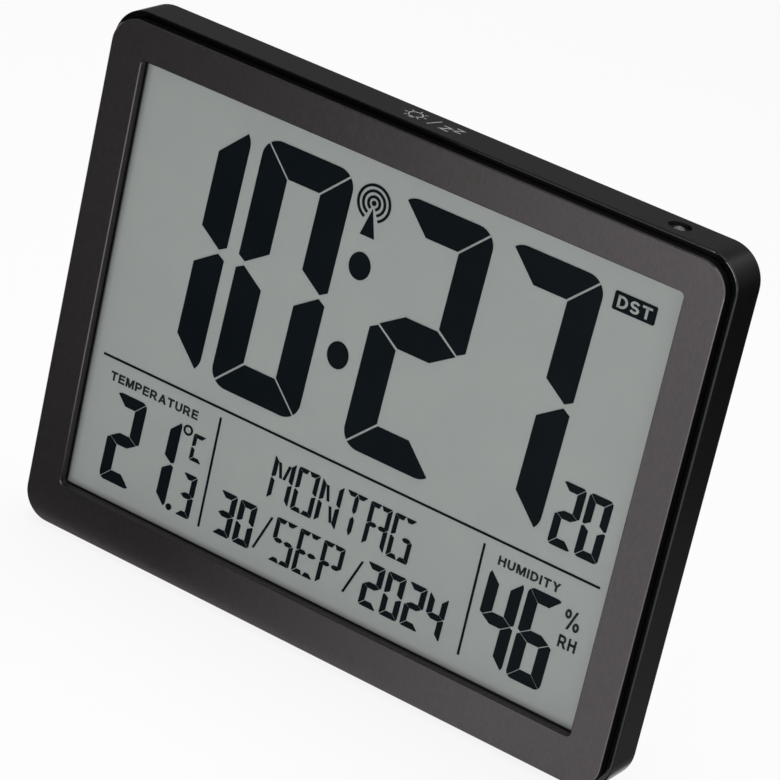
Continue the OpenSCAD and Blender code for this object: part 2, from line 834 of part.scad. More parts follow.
// Everything the display shows in segments, drawn about a point that lies drawn_up below the window's middle
module shown_segments() {
    // Digits, left edge, lower edge, width, height, stroke, corner radius, half gap, pitch
    // Hours and minutes
    number7("10", -91.3, -17.7, 33.7, 84.3, 10.6, 6.2, 0.34, 38.4);
    number7("27", -2.3, -17.4, 33.7, 84.5, 10.6, 6.2, 0.34, 38.4);
    colon_dot(-9.2, 39.4);
    colon_dot(-9.9, 9.3);
    // Seconds
    number7("20", 73.6, -17.9, 8.3, 21.1, 2.6, 1.5, 0.12, 9.4);
    // Temperature and humidity
    number7("21", -86.3, -65.2, 12.2, 30.9, 4, 2.2, 0.12, 14.2);
    number7("3", -55.5, -65.1, 5.5, 15, 1.9, 0.9, 0.12, 7);
    translate([-58.2, -64]) circle(d = 2.2);
    number7("C", -54.4, -45.4, 4.7, 9.3, 1.3, 0.5, 0.1, 6);
    number7("46", 57, -64.8, 12.3, 31.2, 4, 2.2, 0.12, 13.9);
    // Weekday and date
    word14("MONTAG", -23.9, -45.6, 8, 15, 1.5, 0.6, 0.1, 9.1);
    number7("30", -40.6, -65, 6.5, 15.1, 2, 0.9, 0.12, 7.7);
    slash(-25.2, -63.7);
    word14("SEP", -18.7, -65, 8, 15.1, 1.5, 0.6, 0.1, 9.1);
    slash(9.5, -63.7);
    number7("2024", 16, -65, 6.7, 15.1, 2, 0.9, 0.12, 7.85);
    // Ruled lines between the panes
    translate([0.5, divider_z]) square([divider_w, divider_t], center = true);
    for (x = pane_lines)
        translate([x - divider_t / 2, pane_line_z[0]])
            square([divider_t, pane_line_z[1] - pane_line_z[0]]);
}

module lcd_segments() color([0.05, 0.08, 0.1]) clock()
    slab(recess - segment_t, segment_t)
        translate([0, win_z]) scale(drawn_scale) translate([0, -drawn_up]) shown_segments();

// Boards

module main_board() color([0.08, 0.36, 0.22]) clock() difference() {
    box([-board_w / 2, board_v, board_z0], [board_w / 2, board_back, board_z1]);
    for (sx = [-1, 1], z = board_post_z)
        bar(sx * board_post_x, board_v - cut, z, small_screw_d / 2 + shank_gap, board_t + 2 * cut);
}

module controller_chip() color([0.06, 0.06, 0.06]) clock()
    translate([0, board_back, chip_z]) rotate([-90, 0, 0])
        cylinder(r1 = chip_r, r2 = chip_r * chip_taper, h = chip_h);

module clock_crystal() color("silver") clock()
    translate([crystal_x, board_back + crystal_r, chip_z]) rotate([0, 90, 0])
        cylinder(r = crystal_r, h = crystal_l);

module button_switches() color([0.15, 0.15, 0.16]) clock() for (i = [0:button_count - 1]) {
    half = switch_size / 2;
    top = board_back + switch_h;
    box([button_x(i) - half, board_back, button_z - half], [button_x(i) + half, top, button_z + half]);
    bar(button_x(i), top, button_z, plunger_d / 2, plunger_v - top);
}

// Push button: a flange inside the rear wall and a dished cap that stands out of it
module push_button(i) color([0.1, 0.1, 0.105]) clock() {
    cap_v = back_v + button_out;
    difference() {
        union() {
            bar(button_x(i), flange_v, button_z, flange_d / 2, flange_t);
            bar(button_x(i), flange_v, button_z, button_d / 2, cap_v - flange_v);
        }
        bar(button_x(i), cap_v - dish_d, button_z, button_d / 2 - dish_rim, dish_d + cut);
    }
}

module set_button() push_button(0);
module alarm_button() push_button(1);
module up_button() push_button(2);
module down_button() push_button(3);
module wave_button() push_button(4);
module unit_button() push_button(5);

// Receiver, sensors and buzzer

module ferrite_rod() color([0.2, 0.2, 0.21]) clock()
    translate([-beside_stand, rod_v, beside_stand_z - rod_l / 2]) cylinder(r = rod_r, h = rod_l);

module antenna_coil() color([0.72, 0.42, 0.2]) clock() difference() {
    translate([-beside_stand, rod_v, beside_stand_z - coil_l / 2]) cylinder(r = coil_r, h = coil_l);
    translate([-beside_stand, rod_v, beside_stand_z - coil_l])
        cylinder(r = rod_r + screw_gap, h = 2 * coil_l);
}

module antenna_clips() color([0.85, 0.85, 0.82]) clock() for (s = [-1, 1]) {
    z = beside_stand_z + s * (rod_l / 2 - clip_from_end);
    difference() {
        box([-beside_stand - clip_w / 2, rod_v - rod_r * clip_grip, z - clip_t / 2],
            [-beside_stand + clip_w / 2, house_inner, z + clip_t / 2]);
        translate([-beside_stand, rod_v, z - clip_t]) cylinder(r = rod_r + screw_gap, h = 2 * clip_t);
    }
}

// A box of a given size about x and z, with its nearer face at depth v
module block(x, v, z, size) {
    translate([x - size[0] / 2, v, z - size[2] / 2]) cube(size);
}

module receiver_board() color([0.08, 0.36, 0.22]) clock()
    block(-beside_bay, side_board_v, beside_bay_z, [side_board_w, board_t, side_board_h]);

module sensor_board() color([0.08, 0.36, 0.22]) clock()
    block(beside_bay, side_board_v, beside_bay_z, [side_board_w, board_t, side_board_h]);

module receiver_chip() color([0.06, 0.06, 0.06]) clock()
    block(-beside_bay, side_board_v - receiver_chip_size[1], beside_bay_z, receiver_chip_size);

module humidity_sensor() color([0.92, 0.92, 0.9]) clock()
    block(beside_bay, side_board_v + board_t, beside_bay_z, sensor_size);

module buzzer() color([0.12, 0.12, 0.12]) clock() difference() {
    bar(beside_stand, house_inner - buzzer_t, beside_stand_z, buzzer_r, buzzer_t);
    bar(beside_stand, house_inner - buzzer_t + buzzer_front, beside_stand_z,
        buzzer_r - buzzer_wall, buzzer_t);
}

module light_sensor() color([0.95, 0.97, 1, 0.8]) clock() translate([eye_x, eye_v, 0]) {
    under = top_in - eye_flange_t;
    dome_z = shell_h - eye_sunk - eye_dome_h;
    translate([0, 0, under]) cylinder(r = eye_flange_r, h = eye_flange_t);
    translate([0, 0, under - eye_body_l]) cylinder(r = eye_r, h = dome_z - under + eye_body_l);
    translate([0, 0, dome_z]) intersection() {
        cylinder(r = eye_r, h = eye_dome_h);
        translate([0, 0, eye_dome_h - eye_dome_r]) sphere(r = eye_dome_r);
    }
}

module touch_foil() color([0.75, 0.45, 0.25]) clock() {
    box([-foil_w / 2, foil_v, top_in - foil_t], [foil_w / 2, foil_v + foil_d, top_in]);
    box([-foil_tail / 2, board_back, board_z1 - foil_tail_l], [foil_tail / 2, board_back + foil_t, top_in]);
}

// Battery bay

function cell_z(i) = bay_z0 + cell_gap + bay_play + cell_d / 2 + i * (cell_d + cell_gap);

// A cell whose nub points along side s
module cell(i, s) {
    translate([s * (bay_l / 2 - plate_t - cell_l), cell_v, cell_z(i)])
        mirror([s < 0 ? 1 : 0, 0, 0]) rotate([0, 90, 0]) {
            cylinder(d = cell_d, h = cell_l - nub_l);
            cylinder(d = nub_d, h = cell_l);
        }
}

module upper_cell() color([0.55, 0.56, 0.58]) clock() cell(1, -1);
module lower_cell() color([0.55, 0.56, 0.58]) clock() cell(0, 1);

module contact_plate(side, low, high) {
    x = side * (bay_l / 2 - plate_t / 2);
    box([x - plate_t / 2, cell_v - plate_z / 2, low], [x + plate_t / 2, cell_v + plate_z / 2, high]);
}

module contact_link() color("silver") clock()
    contact_plate(1, cell_z(0) - plate_z / 2, cell_z(1) + plate_z / 2);
module contact_positive() color("silver") clock()
    contact_plate(-1, cell_z(1) - plate_z / 2, cell_z(1) + plate_z / 2);
module contact_negative() color("silver") clock()
    contact_plate(-1, cell_z(0) - plate_z / 2, cell_z(0) + plate_z / 2);

// Conical spring: a wire that runs straight off its plate, curls and ends against the cell
function spring_path() = let (
    n = spring_curls * spring_rings, run = spring_l - 2 * spring_wire
) concat(
    [[0, spring_big_r, 0]],
    [for (i = [0:n]) let (
        f = i / n, a = 360 * spring_curls * f, r = spring_big_r + (spring_tip_r - spring_big_r) * f
    ) [spring_wire + run * f, r * cos(a), r * sin(a)]],
    [[spring_l, spring_tip_r, 0]]);

// Round the wire, the points of one ring lie on the axes u and w
function ring_points(middle, u, w) = [
    for (k = [0:spring_sides - 1]) let (a = 360 * k / spring_sides)
        middle + spring_wire / 2 * (cos(a) * u + sin(a) * w)
];

// Ring square to the path. At both ends the tube is cut flat on the plate and on the cell.
function wire_ring(path, i) = let (last = len(path) - 1)
    i == 0 || i == last ? ring_points(path[i], [0, 1, 0], [0, 0, 1]) :
    let (
        step = path[i + 1] - path[i - 1], along = step / norm(step),
        side = cross(along, [1, 0.01, 0.02]), u = side / norm(side)
    ) ring_points(path[i], u, cross(along, u));

// Least distance between points of the wire that are at least half a curl apart
function least_gap(path) = min([
    for (i = [0:len(path) - 1], j = [i + spring_rings / 2:1:len(path) - 1]) norm(path[i] - path[j])
]) - spring_wire;

module spring() {
    path = spring_path();
    last = len(path) - 1;
    points = [for (i = [0:last]) each wire_ring(path, i)];
    m = spring_sides;
    sides = [for (i = [0:last - 1], k = [0:m - 1]) let (
        a = i * m + k, b = i * m + (k + 1) % m, c = a + m, d = b + m) each [[a, c, b], [b, c, d]]];
    caps = [for (k = [1:m - 2]) each [[0, k, k + 1], [last * m, last * m + k + 1, last * m + k]]];
    echo(least_gap_of_spring = least_gap(path));
    polyhedron(points, concat(sides, caps));
}

module contact_springs() color("silver") clock() {
    x = bay_l / 2 - plate_t;
    translate([-x, cell_v, cell_z(0)]) spring();
    translate([x, cell_v, cell_z(1)]) mirror([1, 0, 0]) spring();
}

module battery_door() color([0.07, 0.07, 0.075]) clock() {
    half = door_w / 2;
    difference() {
        union() {
            box([-half, door_v, door_z0], [half, case_d, house_top]);
            for (sx = [-1, 1]) mirror([sx < 0 ? 1 : 0, 0, 0]) {
                box([half - tongue_in, tongue_v, door_z0], [half + tongue_out, tongue_v + tongue_t, bay_top]);
                box([half - tongue_in, tongue_v, door_z0], [half, door_v + door_t / 2, bay_top]);
            }
        }
        for (i = [0:grip_count - 1]) {
            z = door_z0 + grip_up + i * grip_pitch;
            box([i - grip_w / 2, case_d - grip_d, z], [grip_w / 2 - i, case_d + cut, z + grip_h]);
        }
    }
}

// Stand

module stand() color([0.07, 0.07, 0.075]) clock() {
    half = stand_w / 2;
    difference() {
        union() {
            box([-half, case_d - stand_t, hinge_z], [half, case_d, stand_tip]);
            translate([-half, hinge_v, hinge_z]) rotate([0, 90, 0]) cylinder(r = barrel_r, h = stand_w);
            translate([-half - hinge_wall, hinge_v, hinge_z]) rotate([0, 90, 0])
                cylinder(d = peg_d, h = stand_w + 2 * hinge_wall);
        }
        box([-half + relief_side, case_d - stand_t / 2, hinge_z + relief_low],
            [half - relief_side, case_d + cut, stand_tip - relief_high]);
    }
}

// Screws

module screw(x, seat, z, shank_r, length, cap_r, cap_t) {
    difference() {
        union() {
            bar(x, seat - length, z, shank_r, length + cap_t / 2);
            bar(x, seat, z, cap_r, cap_t);
        }
        long = cap_r * slot_length;
        short = cap_r * slot_width;
        floor_v = seat + cap_t * slot_floor;
        block(x, floor_v, z, [long, cap_t, short]);
        block(x, floor_v, z, [short, cap_t, long]);
    }
}

module case_screws() color("silver") clock() {
    seat = post_v + head_seat;
    for (sx = [-1, 1], z = case_post_z)
        screw(sx * post_x, seat, z, case_screw_d / 2, seat - face_t - tip_gap, head_r, head_t);
}

module holder_screws() color("silver") clock() for (sx = [-1, 1], z = ear_post_z)
    screw(sx * post_x, holder_back, z, small_screw_d / 2, holder_t + ear_screw_l, small_head_r, small_head_t);

module board_screws() color("silver") clock() {
    length = board_t + board_gap + holder_t / 2;
    for (sx = [-1, 1], z = board_post_z)
        screw(sx * board_post_x, board_back, z, small_screw_d / 2, length, small_head_r, small_head_t);
}

front_bezel();
rear_shell();
lcd_glass();
lcd_segments();
transflector_film();
light_guide();
backing_film();
led_board();
leds();
lcd_holder();
contact_strip();
main_board();
controller_chip();
clock_crystal();
button_switches();
set_button();
alarm_button();
up_button();
down_button();
wave_button();
unit_button();
ferrite_rod();
antenna_coil();
antenna_clips();
receiver_board();
receiver_chip();
sensor_board();
humidity_sensor();
buzzer();
light_sensor();
touch_foil();
upper_cell();
lower_cell();
contact_link();
contact_positive();
contact_negative();
contact_springs();
battery_door();
stand();
case_screws();
holder_screws();
board_screws();
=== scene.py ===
# %% [markdown]
# # A radio-controlled alarm clock
#
# The clock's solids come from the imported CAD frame, already at their real size in metres:
# X runs across the face, Y runs into the clock and Z is up. This lesson gives every solid
# its finish, adds what is only printed or shown on the display, and sets up the studio.
# Nothing here moves or resizes a solid.

import math

import bmesh
import bpy
from mathutils import Matrix, Vector


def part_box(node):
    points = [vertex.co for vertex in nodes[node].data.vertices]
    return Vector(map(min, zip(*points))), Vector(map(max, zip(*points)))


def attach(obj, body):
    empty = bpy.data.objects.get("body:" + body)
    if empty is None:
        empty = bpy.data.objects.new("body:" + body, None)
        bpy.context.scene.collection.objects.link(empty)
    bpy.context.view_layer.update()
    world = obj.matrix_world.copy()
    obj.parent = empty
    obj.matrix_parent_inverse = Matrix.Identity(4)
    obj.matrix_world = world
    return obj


MM = 0.001

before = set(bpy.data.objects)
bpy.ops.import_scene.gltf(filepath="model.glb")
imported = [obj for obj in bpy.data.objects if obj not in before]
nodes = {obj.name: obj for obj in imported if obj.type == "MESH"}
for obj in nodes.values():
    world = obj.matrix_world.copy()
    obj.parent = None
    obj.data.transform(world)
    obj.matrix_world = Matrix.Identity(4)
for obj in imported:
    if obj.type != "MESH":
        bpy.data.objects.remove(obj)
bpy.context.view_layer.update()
print("solids in the frame:", len(nodes))

# %% [markdown]
# ## Places that the frame gives
#
# Marks on the display and on the top wall have to sit exactly on the solids that carry
# them. Their planes are read from the solids' boxes, so they stay right if the CAD changes.

# %% Planes and middles
SEGMENTS_BELOW_MIDDLE = 65.6 * MM

face_low, face_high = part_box("front_bezel")
shell_low, shell_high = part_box("rear_shell")
glass_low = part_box("lcd_glass")[0]
segment_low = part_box("lcd_segments")[0]

face_y = face_low.y
face_middle_z = (face_low.z + face_high.z) / 2
display_y = glass_low.y
display_middle_z = segment_low.z + SEGMENTS_BELOW_MIDDLE
segment_thickness = display_y - segment_low.y
top_z = shell_high.z
print("display lies", round((display_y - face_y) / MM, 2), "mm behind the face")

# %% [markdown]
# ## Camera
#
# The photograph looks down on the clock from the front right with a long lens, and the
# picture is rolled. The camera's place and its three directions were found by matching the
# corners of face and window, so they are written down as they are. A camera in Blender
# looks along its own -Z axis with +Y up.

# %% Camera at the photograph's angle
CAMERA_PLACE = Vector((510.2, -935.7, 537.3)) * MM
CAMERA_RIGHT = Vector((0.8163, 0.5397, 0.2059))
CAMERA_AHEAD = Vector((-0.4383, 0.8109, -0.3877))
LENS_PER_PICTURE_WIDTH = 3767.4 / 780

camera = bpy.data.objects.new("camera", bpy.data.cameras.new("camera"))
bpy.context.scene.collection.objects.link(camera)
bpy.context.scene.camera = camera
ahead = CAMERA_AHEAD.normalized()
right = (CAMERA_RIGHT - ahead * CAMERA_RIGHT.dot(ahead)).normalized()
up = right.cross(ahead)
turn = Matrix((right, up, -ahead)).transposed()
camera.matrix_world = Matrix.Translation(CAMERA_PLACE) @ turn.to_4x4()
camera.data.lens = LENS_PER_PICTURE_WIDTH * camera.data.sensor_width
camera.data.clip_start = 0.01
camera.data.clip_end = 100
print("lens", round(camera.data.lens, 1), "mm")

# %% [markdown]
# ## Building shader groups
#
# Several finishes share an effect: the fine grain of moulded plastic, the streaks of plated
# metal. Each effect is a node group with named inputs, built once and placed in every
# material that needs it. The Principled shader itself stays in the material, because the
# export reads it there.

# %% Helpers for shader trees
NOISE_FROM, NOISE_TO = 0.3, 0.7


def new_group(name, inputs, outputs):
    """A shader node group with named sockets, and its input and output nodes."""
    tree = bpy.data.node_groups.new(name, "ShaderNodeTree")
    for label, kind, value in inputs:
        socket = tree.interface.new_socket(label, in_out="INPUT", socket_type=kind)
        if value is not None:
            socket.default_value = value
    for label, kind in outputs:
        tree.interface.new_socket(label, in_out="OUTPUT", socket_type=kind)
    return tree, tree.nodes.new("NodeGroupInput"), tree.nodes.new("NodeGroupOutput")


def feed(tree, socket, value):
    """Links another socket into an input, or sets the input to a plain value."""
    if isinstance(value, bpy.types.NodeSocket):
        tree.links.new(value, socket)
    else:
        socket.default_value = value


def math_node(tree, operation, *sides):
    """A Math node whose sides are sockets or numbers. Returns its output."""
    node = tree.nodes.new("ShaderNodeMath")
    node.operation = operation
    for socket, value in zip(node.inputs, sides):
        feed(tree, socket, value)
    return node.outputs[0]


def mix_colours(tree, factor, first, second):
    """A Mix node for colours. Returns its output."""
    node = tree.nodes.new("ShaderNodeMix")
    node.data_type = "RGBA"
    for place, value in ((0, factor), (6, first), (7, second)):
        feed(tree, node.inputs[place], value)
    return node.outputs[2]


def noise(tree, position, scale, detail):
    """A noise texture on a position. Returns its value between 0 and 1."""
    node = tree.nodes.new("ShaderNodeTexNoise")
    node.inputs["Detail"].default_value = detail
    tree.links.new(position, node.inputs["Vector"])
    feed(tree, node.inputs["Scale"], scale)
    return node.outputs["Fac"]


def spread(tree, value, low, high):
    """Stretches a noise value, which keeps near its middle, over low to high."""
    node = tree.nodes.new("ShaderNodeMapRange")
    node.inputs["From Min"].default_value = NOISE_FROM
    node.inputs["From Max"].default_value = NOISE_TO
    for label, end in (("Value", value), ("To Min", low), ("To Max", high)):
        feed(tree, node.inputs[label], end)
    return node.outputs["Result"]


def rise(tree, place, start, end):
    """A smooth step from 0 at start to 1 at end."""
    node = tree.nodes.new("ShaderNodeMapRange")
    node.interpolation_type = "SMOOTHSTEP"
    node.inputs["From Min"].default_value = start
    node.inputs["From Max"].default_value = end
    tree.links.new(place, node.inputs["Value"])
    return node.outputs["Result"]


def axes(tree, position):
    """The X, Y and Z of a position, as sockets by name."""
    node = tree.nodes.new("ShaderNodeSeparateXYZ")
    tree.links.new(position, node.inputs[0])
    return node.outputs


# %% Group: moulded grain
PATCH_SHARE = 0.6


def moulded_grain():
    """Broad, faint patches of colour and gloss, with a fine spark-eroded grain over them."""
    tree, taken, given = new_group(
        "moulded grain",
        [
            ("Position", "NodeSocketVector", None),
            ("Colour", "NodeSocketColor", None),
            ("Patch colour", "NodeSocketColor", None),
            ("Patches per metre", "NodeSocketFloat", 60.0),
            ("Grains per metre", "NodeSocketFloat", 2500.0),
            ("Least roughness", "NodeSocketFloat", 0.4),
            ("Most roughness", "NodeSocketFloat", 0.6),
        ],
        [("Colour", "NodeSocketColor"), ("Roughness", "NodeSocketFloat"), ("Height", "NodeSocketFloat")],
    )
    patches = noise(tree, taken.outputs["Position"], taken.outputs["Patches per metre"], 3)
    grain = noise(tree, taken.outputs["Position"], taken.outputs["Grains per metre"], 2)
    both = math_node(
        tree, "ADD",
        math_node(tree, "MULTIPLY", patches, PATCH_SHARE),
        math_node(tree, "MULTIPLY", grain, 1 - PATCH_SHARE),
    )
    colour = mix_colours(
        tree, spread(tree, both, 0.0, 1.0), taken.outputs["Colour"], taken.outputs["Patch colour"]
    )
    tree.links.new(colour, given.inputs["Colour"])
    rough = spread(tree, both, taken.outputs["Least roughness"], taken.outputs["Most roughness"])
    tree.links.new(rough, given.inputs["Roughness"])
    tree.links.new(grain, given.inputs["Height"])
    return tree


GRAIN = moulded_grain()
print("shader group:", GRAIN.name)

# %% Group: streaks
def streaks():
    """Drawn or rolled metal: a noise that is stretched along one direction."""
    tree, taken, given = new_group(
        "streaks",
        [
            ("Position", "NodeSocketVector", None),
            ("Stretch", "NodeSocketVector", None),
            ("Colour", "NodeSocketColor", None),
            ("Streak colour", "NodeSocketColor", None),
            ("Least roughness", "NodeSocketFloat", 0.2),
            ("Most roughness", "NodeSocketFloat", 0.4),
        ],
        [("Colour", "NodeSocketColor"), ("Roughness", "NodeSocketFloat"), ("Height", "NodeSocketFloat")],
    )
    stretched = tree.nodes.new("ShaderNodeVectorMath")
    stretched.operation = "MULTIPLY"
    tree.links.new(taken.outputs["Position"], stretched.inputs[0])
    tree.links.new(taken.outputs["Stretch"], stretched.inputs[1])
    lines = noise(tree, stretched.outputs[0], 1.0, 4)
    colour = mix_colours(
        tree, spread(tree, lines, 0.0, 1.0), taken.outputs["Colour"], taken.outputs["Streak colour"]
    )
    tree.links.new(colour, given.inputs["Colour"])
    rough = spread(tree, lines, taken.outputs["Least roughness"], taken.outputs["Most roughness"])
    tree.links.new(rough, given.inputs["Roughness"])
    tree.links.new(lines, given.inputs["Height"])
    return tree


STREAKS = streaks()
print("shader group:", STREAKS.name)

# %% [markdown]
# ## Plain finishes
#
# Most pieces are moulded plastic, boards or plated metal. One function makes a plastic
# from the grain group, one a metal from the streak group. Colours are written the way a
# picture shows them, and are turned into the linear values that a shader works with.

# %% Helpers for materials
def linear(red, green, blue):
    """A colour as seen in a picture, 0 to 255, as the linear colour of a shader."""
    shares = [c / 255 for c in (red, green, blue)]
    return tuple(s / 12.92 if s <= 0.04045 else ((s + 0.055) / 1.055) ** 2.4 for s in shares) + (1.0,)


def empty_material(name):
    """A material with an empty tree."""
    material = bpy.data.materials.new(name)
    material.use_nodes = True
    material.node_tree.nodes.clear()
    return material, material.node_tree


def new_material(name):
    """A material with a Principled shader, and the position on the piece."""
    material, tree = empty_material(name)
    output = tree.nodes.new("ShaderNodeOutputMaterial")
    shader = tree.nodes.new("ShaderNodeBsdfPrincipled")
    tree.links.new(shader.outputs["BSDF"], output.inputs["Surface"])
    position = tree.nodes.new("ShaderNodeTexCoord").outputs["Object"]
    return material, tree, shader, position


def place_group(tree, group, position, **values):
    """Puts a shader group into a material and sets its inputs by name."""
    node = tree.nodes.new("ShaderNodeGroup")
    node.node_tree = group
    tree.links.new(position, node.inputs["Position"])
    for label, value in values.items():
        node.inputs[label.replace("_", " ")].default_value = value
    return node


def coat(tree, shader, group):
    """Lets a group's colour and roughness reach the shader."""
    for label, socket in (("Colour", "Base Color"), ("Roughness", "Roughness")):
        tree.links.new(group.outputs[label], shader.inputs[socket])


def bump(tree, shader, height, depth):
    """Turns a height into a small relief on the shader's normal."""
    node = tree.nodes.new("ShaderNodeBump")
    node.inputs["Strength"].default_value = 1.0
    node.inputs["Distance"].default_value = depth
    tree.links.new(height, node.inputs["Height"])
    tree.links.new(node.outputs["Normal"], shader.inputs["Normal"])


print("middle grey as a shader's colour:", [round(share, 3) for share in linear(128, 128, 128)])

# %% Plastic and metal
METAL_RELIEF = 0.004 * MM


def plastic(name, colour, patch, rough, grains=2500.0, relief=0.01 * MM, gloss=0.5):
    """Moulded plastic, lacquer or card: grain, patches and a little relief."""
    material, tree, shader, position = new_material(name)
    group = place_group(
        tree, GRAIN, position,
        Colour=linear(*colour), Patch_colour=linear(*patch), Grains_per_metre=grains,
        Least_roughness=rough[0], Most_roughness=rough[1],
    )
    coat(tree, shader, group)
    shader.inputs["Specular IOR Level"].default_value = gloss
    bump(tree, shader, group.outputs["Height"], relief)
    return material


def metal(name, colour, streak, rough, stretch):
    """Plated or drawn metal with streaks along one direction."""
    material, tree, shader, position = new_material(name)
    group = place_group(
        tree, STREAKS, position,
        Stretch=stretch, Colour=linear(*colour), Streak_colour=linear(*streak),
        Least_roughness=rough[0], Most_roughness=rough[1],
    )
    coat(tree, shader, group)
    shader.inputs["Metallic"].default_value = 1.0
    bump(tree, shader, group.outputs["Height"], METAL_RELIEF)
    return material


def finish_nodes(material, *names):
    """Gives a material to CAD solids."""
    for name in names:
        slots = nodes[name].data.materials
        slots.clear()
        slots.append(material)
    print(material.name, "->", ", ".join(names))


# %% [markdown]
# ## Black case
#
# Shell, battery door and stand are satin black plastic with a very fine grain. The shell's
# front rim comes from a polished part of the mould, so it mirrors the dark gap beside it, and
# it is coloured darker than the case as painted shade of that gap. All that lies at the back
# is spark-eroded, which makes it matt and a little paler.
# Three materials would need the shell's mesh cut into zones. One material that reads the
# depth on the piece needs no cut. The buttons come from another mould and are a little
# rougher and paler.

# %% Case, door, stand and buttons
BUTTONS = ["set_button", "alarm_button", "up_button", "down_button", "wave_button", "unit_button"]
RIM = (0.0, 0.16 * MM)
# Painted shade: the flat front rim's colour, darker than the case, stands for the dark gap it mirrors.
RIM_SHADE_COLOUR = linear(5, 5, 5)
RIM_SMOOTHNESS = 0.35
BACK_FROM = (19.2 * MM, 19.7 * MM)
BACK_COLOUR = linear(48, 46, 47)
BACK_PALER = 0.4
BACK_ROUGHER = 0.22
BACK_GRAIN = 2.0


def zone_case(material):
    """Polishes the shell's flat front rim and darkens its colour as painted shade, and makes everything at
    the back matt.
    """
    tree = material.node_tree
    shader = tree.nodes["Principled BSDF"]
    relief = tree.nodes["Bump"]
    depth = axes(tree, tree.nodes["Texture Coordinate"].outputs["Object"])["Y"]
    walls = rise(tree, depth, shell_low.y + RIM[0], shell_low.y + RIM[1])
    back = rise(tree, depth, face_y + BACK_FROM[0], face_y + BACK_FROM[1])
    colour = shader.inputs["Base Color"].links[0].from_socket
    rough = shader.inputs["Roughness"].links[0].from_socket
    height = relief.inputs["Height"].links[0].from_socket
    paler = mix_colours(tree, math_node(tree, "MULTIPLY", back, BACK_PALER), colour, BACK_COLOUR)
    # Painted shade: the flat front rim takes a darker colour than the rest of the case.
    tree.links.new(mix_colours(tree, walls, RIM_SHADE_COLOUR, paler), shader.inputs["Base Color"])
    smooth = math_node(tree, "MULTIPLY", rough, math_node(tree, "MAXIMUM", walls, RIM_SMOOTHNESS))
    matt = math_node(tree, "ADD", smooth, math_node(tree, "MULTIPLY", back, BACK_ROUGHER))
    tree.links.new(matt, shader.inputs["Roughness"])
    coarse = math_node(tree, "ADD", 1.0, math_node(tree, "MULTIPLY", back, BACK_GRAIN))
    tree.links.new(math_node(tree, "MULTIPLY", height, coarse), relief.inputs["Height"])


case_black = plastic("case_black", (14, 12, 13), (18, 16, 17), (0.26, 0.34), relief=0.004 * MM)
zone_case(case_black)
button_black = plastic("button_black", (30, 29, 30), (35, 34, 35), (0.36, 0.46))
finish_nodes(case_black, "rear_shell", "battery_door", "stand")
finish_nodes(button_black, *BUTTONS)

# %% [markdown]
# ## Painted face
#
# The face is finished in a brownish anthracite metallic, brushed up and down: fine streaks
# along Z come from the streak group, and a Voronoi texture adds the sparkle of single
# flakes. Its chamfered edges are smoother and take a brighter colour as a painted highlight,
# apart from those that look into the window, which take a dark colour as painted shade. Down
# the window's inner wall the paint fades to black as painted shade, and the skirt behind the
# face is bare black plastic, darker than the case as painted shade of the gap. Masks from
# the position on the piece tell edge, paint and plastic apart.

# %% Masks of the face
SKIRT_BARE_FROM = 0.7 * MM
# Painted shade: over this depth the window's inner wall fades from paint to black.
COLLAR_SHADE_FADE = (1.8 * MM, 3.4 * MM)
PAINT_HALF_WIDTH = 104 * MM
PAINT_HALF_HEIGHT = 80 * MM
EDGE = (0.03 * MM, 0.3 * MM)
WINDOW_RIGHT = (98.0 * MM, 99.0 * MM)
WINDOW_TOP = (163.3 * MM, 164.2 * MM)


def bare_and_shade_mask(tree, position):
    """1 where the face shows black: unpainted plastic behind its outer edge, darker than the case as painted
    shade of the gap, and painted shade deep in the window.
    """
    place = axes(tree, position)
    across = math_node(tree, "ABSOLUTE", place["X"])
    along = math_node(tree, "ABSOLUTE", math_node(tree, "SUBTRACT", place["Z"], face_middle_z))
    outer = math_node(
        tree, "MAXIMUM",
        math_node(tree, "GREATER_THAN", across, PAINT_HALF_WIDTH),
        math_node(tree, "GREATER_THAN", along, PAINT_HALF_HEIGHT),
    )
    skirt = math_node(tree, "GREATER_THAN", place["Y"], face_y + SKIRT_BARE_FROM)
    # Painted shade deep in the window.
    collar_shade = rise(tree, place["Y"], face_y + COLLAR_SHADE_FADE[0], face_y + COLLAR_SHADE_FADE[1])
    return math_node(tree, "MAXIMUM", math_node(tree, "MULTIPLY", outer, skirt), collar_shade)


def edge_mask(tree, position):
    """1 on the chamfers, which are all that lies just behind the front plane."""
    depth = axes(tree, position)["Y"]
    behind = math_node(tree, "GREATER_THAN", depth, face_y + EDGE[0])
    before = math_node(tree, "LESS_THAN", depth, face_y + EDGE[1])
    return math_node(tree, "MULTIPLY", behind, before)


def unlit_mask(tree, position):
    """1 along the window's upper and right edges, whose chamfers look into the window."""
    place = axes(tree, position)
    near = math_node(
        tree, "MAXIMUM",
        math_node(tree, "GREATER_THAN", place["X"], WINDOW_RIGHT[0]),
        math_node(tree, "GREATER_THAN", place["Z"], WINDOW_TOP[0]),
    )
    within = math_node(
        tree, "MULTIPLY",
        math_node(tree, "LESS_THAN", place["X"], WINDOW_RIGHT[1]),
        math_node(tree, "LESS_THAN", place["Z"], WINDOW_TOP[1]),
    )
    return math_node(tree, "MULTIPLY", near, within)


print("chamfers lie", round(EDGE[0] / MM, 2), "to", round(EDGE[1] / MM, 2), "mm behind the front plane")

# %% Face paint
BRUSHED = (2600.0, 2600.0, 500.0)
PAINT_COLOUR = linear(76, 73, 73)
PALE_COLOUR = linear(85, 81, 82)
# Painted highlight: the chamfers' brighter colour. Painted shade: the dark colour of the window's upper and
# right chamfers.
EDGE_HIGHLIGHT_COLOUR = linear(104, 99, 100)
UNLIT_COLOUR = linear(20, 19, 19)
